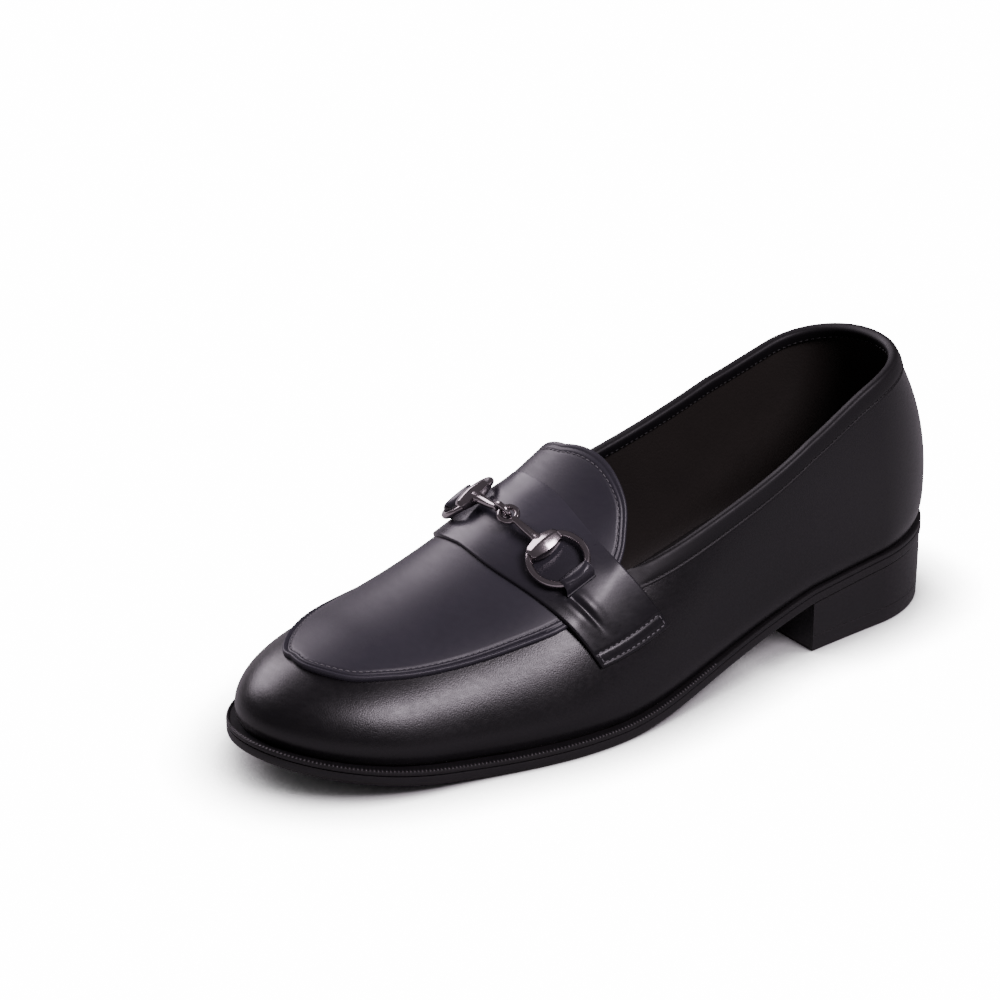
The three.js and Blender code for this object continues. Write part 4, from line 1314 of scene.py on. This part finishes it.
@dataclass
class Strap:
    """Saddle strap across the instep, sewn low on both quarters."""

    last: LastShape
    apron: Apron
    thickness: float = 1.4
    front_turn: float = 0.763
    rear_turn: float = 0.788
    seat: float = 0.06
    width: float = 31.0
    reach: float = 62.0
    stitch_rows: tuple[float, float] = (1.4, 4.5)
    bend_rear: float = 0.655
    bend_front: float = 0.68
    bend_round: float = 0.025
    bend_run: float = 0.24
    crease_at: float = 0.71
    crease_width: float = 0.045
    crease_depth: float = 0.75
    swell: float = 0.35
    skive: float = 0.86
    stitch_sink: float = 0.24
    corner: float = 0.8

    def __post_init__(self) -> None:
        """Reads the edges' table."""
        rows = [0, 0.25, 0.5, 0.75, 1]
        self.front = Spline(rows, [0.670, 0.668, 0.651, 0.627, 0.603])
        self.rear = Spline(rows, [0.558, 0.554, 0.549, 0.528, 0.497])

    def base(self, v: np.ndarray, w: np.ndarray, side: Side) -> np.ndarray:
        """Height of the underside: over the apron, then in a taut straight line down to the quarter."""
        x, turn = self.place(v, w)
        lip = v * self.apron.turn(x, side) / np.maximum(turn, 1e-6)
        past = v - np.maximum(lip, lerp(self.bend_rear, self.bend_front, w))
        bend = self.bend_round
        run = np.where(past < -bend, 0.0, np.where(past < bend, (past + bend) ** 2 / (4 * bend), past))
        drop = 1 - np.clip(1 - run / self.bend_run, 0, 1) ** 2
        return lerp(self.apron.top + self.seat, self.last.clearance, drop)

    def place(self, v: np.ndarray, w: np.ndarray) -> tuple[np.ndarray, np.ndarray]:
        """Place and turn of a point of the strap.

        Args:
            v: 0 on the ridge, 1 at the strap's end.
            w: 0 at the rear edge, 1 at the front edge.

        Returns:
            Places along the form and turns from the ridge.
        """
        x = lerp(self.rear(v), self.front(v), w) * self.last.length
        return x, v * lerp(self.rear_turn, self.front_turn, w)

    def middle(self, turn: float) -> float:
        """Place of the strap's middle line at a turn from the ridge."""
        v = turn / (self.rear_turn + self.front_turn) * 2
        return float(self.rear(v) + self.front(v)) / 2 * self.last.length

    def over(self, v: np.ndarray, w: np.ndarray, side: Side, height: np.ndarray) -> np.ndarray:
        """Point at a height over the strap's underside."""
        x, turn = self.place(v, w)
        return self.last.lay(x, turn * side.value, self.base(v, w, side) + height)

    def relief(self, v: np.ndarray, w: np.ndarray, side: Side) -> np.ndarray:
        """Upper face over the underside: soft edges, a skived rear edge and one slack fold."""
        edge = np.minimum(w, 1 - w) * self.width
        end = (1 - v) * self.reach
        near = np.clip(np.minimum(edge, end) / self.corner, 0, 1)
        face = self.thickness * (0.45 + 0.55 * np.sqrt(1 - (1 - near) ** 2))
        skived = (1 - smoothstep(w, 0.0, 0.34)) * (1 - smoothstep(v, 0.5, 0.72))
        face = face * (1 - self.skive * skived)
        for row in self.stitch_rows:
            face = face - self.stitch_sink * np.exp(-((end - row) / 0.5) ** 2) * (edge > 1.0)
        if side is Side.OUTER:
            crease = self.crease_depth * np.exp(-((w - self.crease_at) / self.crease_width) ** 2)
            swell = self.swell * np.exp(-((np.abs(w - self.crease_at) - 0.1) / 0.07) ** 2)
            slack = smoothstep(v, 0.60, 0.67) * (1 - smoothstep(v, 0.72, 0.90))
            face = face + (swell - crease) * slack
        return face

    def build(self, finishes: Finishes, tree: bpy.types.NodeTree) -> None:
        """Builds the strap and the stitches at its ends."""
        w = np.concatenate([[0, 0.006, 0.013, 0.022], np.linspace(0.035, 0.965, 54),
                            [0.978, 0.987, 0.994, 1]])
        half = np.concatenate([np.linspace(0, 0.88, 110), np.linspace(0.884, 0.985, 26),
                               [0.989, 0.993, 0.997, 1]])
        tops, lows = [], []
        for side, v in ((Side.OUTER, half[::-1]), (Side.INNER, half[1:])):
            vv, ww = np.meshgrid(v, w, indexing="ij")
            tops.append(self.over(vv, ww, side, self.relief(vv, ww, side)))
            lows.append(self.over(vv, ww, side, np.zeros_like(vv)))
        top = np.concatenate(tops)
        low = np.concatenate(lows)
        draft = MeshDraft(self.last)
        draft.grid(top)
        draft.grid(low)
        for cut in (np.s_[0, :], np.s_[-1, :], np.s_[:, 0], np.s_[:, -1]):
            draft.grid(np.stack([top[cut], low[cut]]))
        enlist(draft.finish("saddle_strap", finishes["strap_box_calf"], 60), Slot.STRAP, "strap")
        paths = []
        for side in Side:
            near, far = self.stitch_rows
            for end in self.stitch_rows:
                w = np.linspace(0.055, 0.945, 60)
                v = np.full_like(w, 1 - end / self.reach)
                paths.append(self.path(v, w, side))
            for edge in (0.055, 0.945):
                v = np.linspace(1 - far / self.reach, 1 - near / self.reach, 12)
                paths.append(self.path(v, np.full_like(v, edge), side))
        row = RepeatedRow(self.last, tree, 1.75, 0.6, 0.55, 2.45)
        enlist(row.build("strap_stitches", paths, finishes["thread_painted_sheen"]), Slot.STRAP)

    def path(self, v: np.ndarray, w: np.ndarray, side: Side) -> Path:
        """Line on the strap's upper face."""
        face = self.relief(v, w, side)
        points = self.over(v, w, side, face + 0.1)
        return Path(points, unit(self.over(v, w, side, face + 1.1) - points))


@dataclass
class Bit:
    """Two halves of the metal bit and the leather loops that hold its rings."""

    last: LastShape
    strap: Strap
    ring_diameter: float = 23.5
    wire: float = 2.6
    eye_diameter: float = 8.6
    eye_wire: float = 2.2
    bar_thick: float = 4.0
    bar_thin: float = 2.5
    bead_length: float = 14.0
    bead_breadth: float = 8.6
    bead_depth: float = 6.6
    bead_flats: int = 6
    bead_place: float = 7.3
    bead_lift: float = 0.7
    joint_lift: float = 8.2
    joint_turn: float = 0.111
    ring_lift: float = 5.5
    outer_turn: float = 0.374
    inner_turn: float = 0.22
    ring_opening: float = 70.0
    strap_top: float = 2.85
    tab_thickness: float = 0.85
    tab_inner: float = 6.2
    tab_outer: float = 11.7

    def axes(self, side: Side) -> dict[str, np.ndarray]:
        """Places and directions of one half.

        Args:
            side: Side of the shoe.

        Returns:
            Points and unit vectors by name.
        """
        last = self.last
        turn = self.outer_turn if side is Side.OUTER else self.inner_turn
        joint_at, ring_at = self.strap.middle(self.joint_turn), self.strap.middle(turn)
        joint = last.lay(joint_at, np.array(self.joint_turn), np.array(self.joint_lift))
        ring = last.lay(ring_at, np.array(turn * side.value), np.array(self.ring_lift))
        out = last.lay_normal(ring_at, np.array(turn * side.value))
        inward = joint - ring
        inward = unit(inward - out * inward.dot(out))
        bead = ring + inward * self.bead_place + out * self.bead_lift
        axis = unit(joint - bead)
        face = unit(out - axis * out.dot(axis))
        return {"joint": joint, "ring": ring, "out": out, "inward": inward, "bead": bead, "axis": axis,
                "face": face, "cross": np.cross(out, inward)}

    def torus(self, draft: MeshDraft, centre: np.ndarray, u: np.ndarray, v: np.ndarray, radius: float,
              wire: float, opening: float = 0.0) -> None:
        """Adds a ring of round wire, closed or with an opening round its first direction.

        Args:
            draft: Draft that takes it.
            centre: Its centre.
            u: First direction in its plane.
            v: Second direction in its plane.
            radius: Radius of the wire's centreline.
            wire: Thickness of the wire.
            opening: Angle of the opening in degrees.
        """
        n = np.cross(u, v)
        gap = math.radians(opening) / 2
        a = np.linspace(gap, 2 * np.pi - gap, 72, endpoint=opening > 0)[:, None, None]
        b = np.linspace(0, 2 * np.pi, 18, endpoint=False)[None, :, None]
        radial = u * np.cos(a) + v * np.sin(a)
        points = centre + radial * (radius + wire / 2 * np.cos(b)) + n * (wire / 2 * np.sin(b))
        draft.grid(points, close_rows=not opening, close_columns=True)
        if opening:
            draft.cap(points[0])
            draft.cap(points[-1])

    def turned(self, draft: MeshDraft, start: np.ndarray, axis: np.ndarray, u: np.ndarray, v: np.ndarray,
               profile: list[tuple[float, float]], flat: float = 1.0, flats: int = 0) -> None:
        """Adds a body turned round an axis, or with long flats round it.

        Args:
            draft: Draft that takes it.
            start: Point where the profile starts.
            axis: Direction of the axis.
            u: First direction square to it.
            v: Second direction square to it.
            profile: Distance along the axis and radius.
            flat: Share of the radius that is kept along v.
            flats: Number of flats round the body, or 0 for none.
        """
        angle = np.linspace(0, 2 * np.pi, 48 if flats else 28, endpoint=False)[None, :, None]
        place = np.array([row[0] for row in profile])[:, None, None]
        radius = np.array([row[1] for row in profile])[:, None, None]
        if flats:
            sector = 2 * np.pi / flats
            inside = np.mod(angle - QUARTER, sector) - sector / 2
            radius = radius * lerp(1.0, math.cos(sector / 2) / np.cos(inside), 0.8)
        points = start + axis * place + (u * np.cos(angle) + v * np.sin(angle) * flat) * radius
        draft.grid(points, close_columns=True)
        draft.cap(points[0])
        draft.cap(points[-1])

    def half(self, side: Side, name: str, node: str, finishes: Finishes) -> bpy.types.Object:
        """One half: ring, barrel bead on its inner arc, tapered bar and eye."""
        k = self.axes(side)
        draft = MeshDraft(self.last)
        radius = (self.ring_diameter - self.wire) / 2
        self.torus(draft, k["ring"], k["inward"], k["cross"], radius, self.wire, self.ring_opening)
        long = self.bead_length / 2
        wide = self.bead_breadth / 2
        rim = wide * 0.56
        barrel = [(s * long, wide * (1 - 0.4 * abs(s) ** 1.7)) for s in np.linspace(-0.9, 0.9, 15)]
        ends = [(long, rim * 0.8), (long - 0.15, rim * 0.94), (long - 0.4, rim)]
        barrel = [*((-place, r) for place, r in ends), *barrel, *ends[::-1]]
        sideways = unit(np.cross(k["face"], k["cross"]))
        self.turned(draft, k["bead"], k["cross"], sideways, k["face"], barrel,
                    self.bead_depth / self.bead_breadth, self.bead_flats)
        eye_radius = (self.eye_diameter - self.eye_wire) / 2
        eye = k["joint"] - k["axis"] * eye_radius / 2
        upright = np.cross(k["face"], k["axis"])
        length = float(np.linalg.norm(eye - k["bead"])) - eye_radius
        thick, thin = self.bar_thick / 2, self.bar_thin / 2
        bar = [(wide * 0.5, thick * 1.25), (wide + 0.3, thick * 1.02), (wide + 1.2, thick * 0.86),
               (lerp(wide, length, 0.5), lerp(thick, thin, 0.62)), (length - 1.4, thin),
               (length - 0.3, thin * 1.25), (length + 0.3, thin * 1.2)]
        self.turned(draft, k["bead"], k["axis"], k["face"], upright, bar)
        plane = upright if side is Side.OUTER else k["face"]
        self.torus(draft, eye, k["axis"], plane, eye_radius, self.eye_wire)
        return enlist(draft.finish(name, finishes["dark_nickel"], 50), Slot.METAL, node)

    def strap_level(self, k: dict[str, np.ndarray], side: Side, u: np.ndarray, c: np.ndarray) -> np.ndarray:
        """Height of the strap's face over the ring's plane.

        Args:
            k: Places and directions of the half.
            side: Side of the shoe.
            u: Places outwards from the ring's middle.
            c: Places across.

        Returns:
            Heights along the ring's own axis.
        """
        turn = self.outer_turn if side is Side.OUTER else self.inner_turn
        xs, turns = np.meshgrid(self.strap.middle(turn) + np.linspace(-11, 11, 9),
                                turn + np.linspace(0.02, 0.24, 9))
        patch = self.last.lay(xs, turns * side.value, np.full_like(xs, self.strap_top))
        patch = patch.reshape(-1, 3) - k["ring"]
        pu, pc, ph = -patch @ k["inward"], patch @ k["cross"], patch @ k["out"]

        def terms(a: np.ndarray, b: np.ndarray) -> np.ndarray:
            """Terms of a surface of the second degree."""
            return np.stack([np.ones_like(a), a, b, a * a, a * b, b * b], -1)

        fit = np.linalg.lstsq(terms(pu, pc), ph, rcond=None)[0]
        return terms(u, c) @ fit

    def keeper(self, side: Side, name: str, node: str, finishes: Finishes) -> bpy.types.Object:
        """Leather tab over the ring's outer arc, with straight edges inside and outside the ring."""
        k = self.axes(side)
        radius = (self.ring_diameter - self.wire) / 2
        across = np.array([-1, -0.98, -0.93, *np.linspace(-0.86, 0.86, 21), 0.93, 0.98, 1])
        half = np.interp(np.linspace(0, 1, 19), [0, 0.5, 1], [5.4, 6.3, 6.8])
        crest = self.wire / 2 + 0.12
        grids = []
        for thick in (self.tab_thickness, 0.0):
            lines = []
            for step in range(19):
                c = across * (half[step] - (0 if thick else 0.02))
                rho = np.sqrt(radius ** 2 - c ** 2)
                rim = np.clip(np.abs(across) * 1.02 - 0.9, 0, 0.1)
                sunk = (1 - np.sqrt(np.clip(1 - rim ** 2 * 90, 0, 1))) * 0.5
                top = crest + thick * (1 - sunk)
                start, end = np.full_like(c, self.tab_inner), np.full_like(c, self.tab_outer)
                low_in = self.strap_level(k, side, start, c)
                low_out = self.strap_level(k, side, end + 1.6, c)
                rows = [
                    (start - thick * 0.2, low_in), (start - thick * 0.2, low_in + 0.45 * thick + 0.1),
                    (start + 0.05, low_in + 0.85 * thick + 0.3), (start + 0.35, lerp(low_in, top, 0.5)),
                    (start + 0.8, lerp(low_in, top, 0.72)), (lerp(start, rho, 0.5), lerp(low_in, top, 0.88)),
                    (rho - 1.1, top - 0.12), (rho - 0.5, top - 0.02), (rho, top), (rho + 0.5, top - 0.03),
                    (rho + 1.1, top - 0.16), (lerp(rho + 1.1, end, 0.5), top - 0.5), (end - 0.5, top - 0.95),
                    (end - 0.1, top - 1.15), (end + 0.1 + thick * 0.1, top - 1.6),
                    (end + 0.2 + thick * 0.1, lerp(top, low_out, 0.75)),
                    (end + 0.5 + thick * 0.1, low_out + thick), (end + 1.0, low_out + thick * 0.9),
                    (end + 1.15, low_out),
                ]
                u, level = rows[step]
                lines.append(k["ring"] - k["inward"] * u[:, None] + k["cross"] * c[:, None]
                             + k["out"] * level[:, None])
            grids.append(np.stack(lines))
        draft = MeshDraft(self.last)
        draft.grid(grids[0])
        draft.grid(grids[1])
        for cut in (np.s_[0, :], np.s_[-1, :], np.s_[:, 0], np.s_[:, -1]):
            draft.grid(np.stack([grids[0][cut], grids[1][cut]]))
        return enlist(draft.finish(name, finishes["strap_box_calf"], 42), Slot.STRAP, node)

    def build(self, finishes: Finishes) -> None:
        """Builds both halves and their loops."""
        self.half(Side.OUTER, "bit_outer", "bit_outer_half", finishes)
        self.half(Side.INNER, "bit_inner", "bit_inner_half", finishes)
        self.keeper(Side.OUTER, "keeper_outer", "ring_loop_outer", finishes)
        self.keeper(Side.INNER, "keeper_inner", "ring_loop_inner", finishes)


@dataclass
class Studio:
    """Pale floor, soft lights and the camera."""

    last: LastShape
    place: tuple[float, float, float] = (900.48, 1086.41, 649.53)
    yaw: float = -123.27
    pitch: float = -23.77
    roll: float = -1.2
    focal_pixels: float = 3948.4
    picture: float = 1000.0
    light_distance: float = 1.7
    aim_height: float = 0.05
    floor_reach: float = 4.0
    painted_shadow_reach: float = 0.03
    world_strength: float = 0.13
    floor_glow: float = 15.0
    floor_grey: float = 0.46
    tint: tuple[float, float, float] = (1.0, 0.88, 1.0)

    def camera(self) -> None:
        """Sets the camera at the photograph's angle."""
        yaw, pitch, roll = (math.radians(a) for a in (self.yaw, self.pitch, self.roll))
        ahead = np.array([math.cos(pitch) * math.cos(yaw), math.cos(pitch) * math.sin(yaw), math.sin(pitch)])
        right = unit(np.cross(ahead, [0.0, 0.0, 1.0]))
        up = np.cross(right, ahead)
        level = math.cos(roll) * right + math.sin(roll) * up
        upright = math.cos(roll) * up - math.sin(roll) * right
        data = bpy.data.cameras.new("camera")
        data.sensor_width = 36.0
        data.lens = self.focal_pixels / self.picture * data.sensor_width
        data.clip_end = 50.0
        camera = bpy.data.objects.new("camera", data)
        bpy.context.scene.collection.objects.link(camera)
        turn = Matrix((level, upright, -ahead)).transposed().to_4x4()
        camera.matrix_world = Matrix.Translation(self.last.to_frame(np.array(self.place))) @ turn
        bpy.context.scene.camera = camera

    def light(self, name: str, azimuth: float, elevation: float, size: tuple[float, float],
              radiance: float) -> None:
        """Adds a soft light that looks at the shoe.

        Args:
            name: Name of the light.
            azimuth: Direction in plan from the shoe, in degrees from +X.
            elevation: Direction above the floor, in degrees.
            size: Width and height of its face, in metres.
            radiance: Brightness of its face.
        """
        data = bpy.data.lights.new(name, "AREA")
        data.shape = "RECTANGLE"
        data.size, data.size_y = size
        data.energy = radiance * math.pi * size[0] * size[1]
        data.color = self.tint
        lamp = bpy.data.objects.new(name, data)
        turn, lift = math.radians(azimuth), math.radians(elevation)
        away = Vector((math.cos(lift) * math.cos(turn), math.cos(lift) * math.sin(turn), math.sin(lift)))
        lamp.location = Vector((0.0, 0.0, self.aim_height)) + away * self.light_distance
        lamp.rotation_euler = (-away).to_track_quat("-Z", "Y").to_euler()
        bpy.context.scene.collection.objects.link(lamp)

    def floor(self) -> None:
        """Adds a pale floor whose camera-only glow is dimmed near the shoe as a painted contact shadow."""
        mesh = bpy.data.meshes.new("floor")
        reach = self.floor_reach
        mesh.from_pydata([(-reach, -reach, -0.0004), (reach, -reach, -0.0004), (reach, reach, -0.0004),
                          (-reach, reach, -0.0004)], [], [(0, 1, 2, 3)])
        material = bpy.data.materials.new("floor_paper")
        material.use_nodes = True
        shader = material.node_tree.nodes["Principled BSDF"]
        shader.inputs["Base Color"].default_value = (*[self.floor_grey] * 3, 1.0)
        shader.inputs["Roughness"].default_value = 0.9
        shader.inputs["Emission Color"].default_value = (1.0, 1.0, 1.0, 1.0)
        bench = NodeBench(material.node_tree)
        seen = bench.node("ShaderNodeLightPath").outputs["Is Camera Ray"]
        # Painted contact shadow: ambient occlusion dims the camera-only glow near the shoe.
        shade = bench.node("ShaderNodeAmbientOcclusion", samples=8)
        shade.inputs["Distance"].default_value = self.painted_shadow_reach
        painted_contact_shadow = bench.math("POWER", shade.outputs["AO"], 4.5)
        glow = bench.math("MULTIPLY", bench.math("MULTIPLY", seen, self.floor_glow), painted_contact_shadow)
        bench.join(glow, shader.inputs["Emission Strength"])
        mesh.materials.append(material)
        floor = bpy.data.objects.new("floor", mesh)
        bpy.context.scene.collection.objects.link(floor)

    def build(self) -> None:
        """Builds floor, lights, surroundings and camera."""
        self.floor()
        self.camera()
        world = bpy.data.worlds.new("studio")
        world.use_nodes = True
        world.node_tree.nodes["Background"].inputs["Color"].default_value = (*self.tint, 1.0)
        world.node_tree.nodes["Background"].inputs["Strength"].default_value = self.world_strength
        bpy.context.scene.world = world
        self.light("side_window", 104.0, 46.0, (0.75, 0.5), 20.0)
        self.light("back_window", -79.0, 34.0, (1.1, 0.9), 6.8)
        self.light("heel_edge", 186.0, 26.0, (0.5, 0.8), 0.5)


def main() -> None:
    """Builds the shoe around the frame."""
    logging.basicConfig(level=logging.INFO, format="%(name)s: %(message)s")
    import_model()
    last = LastShape()
    last.place_on("outsole")
    LOG.info("shift of the form: %s", np.round(last.shift, 3).tolist())
    finishes = Finishes().build()
    tree = repeat_tree()
    Sole(last).build(finishes, tree)
    Upper(last).build(finishes, tree)
    apron = Apron(last)
    apron.build(finishes, tree)
    strap = Strap(last, apron)
    strap.build(finishes, tree)
    Bit(last, strap).build(finishes)
    Studio(last).build()


if __name__ == "__main__":
    main()
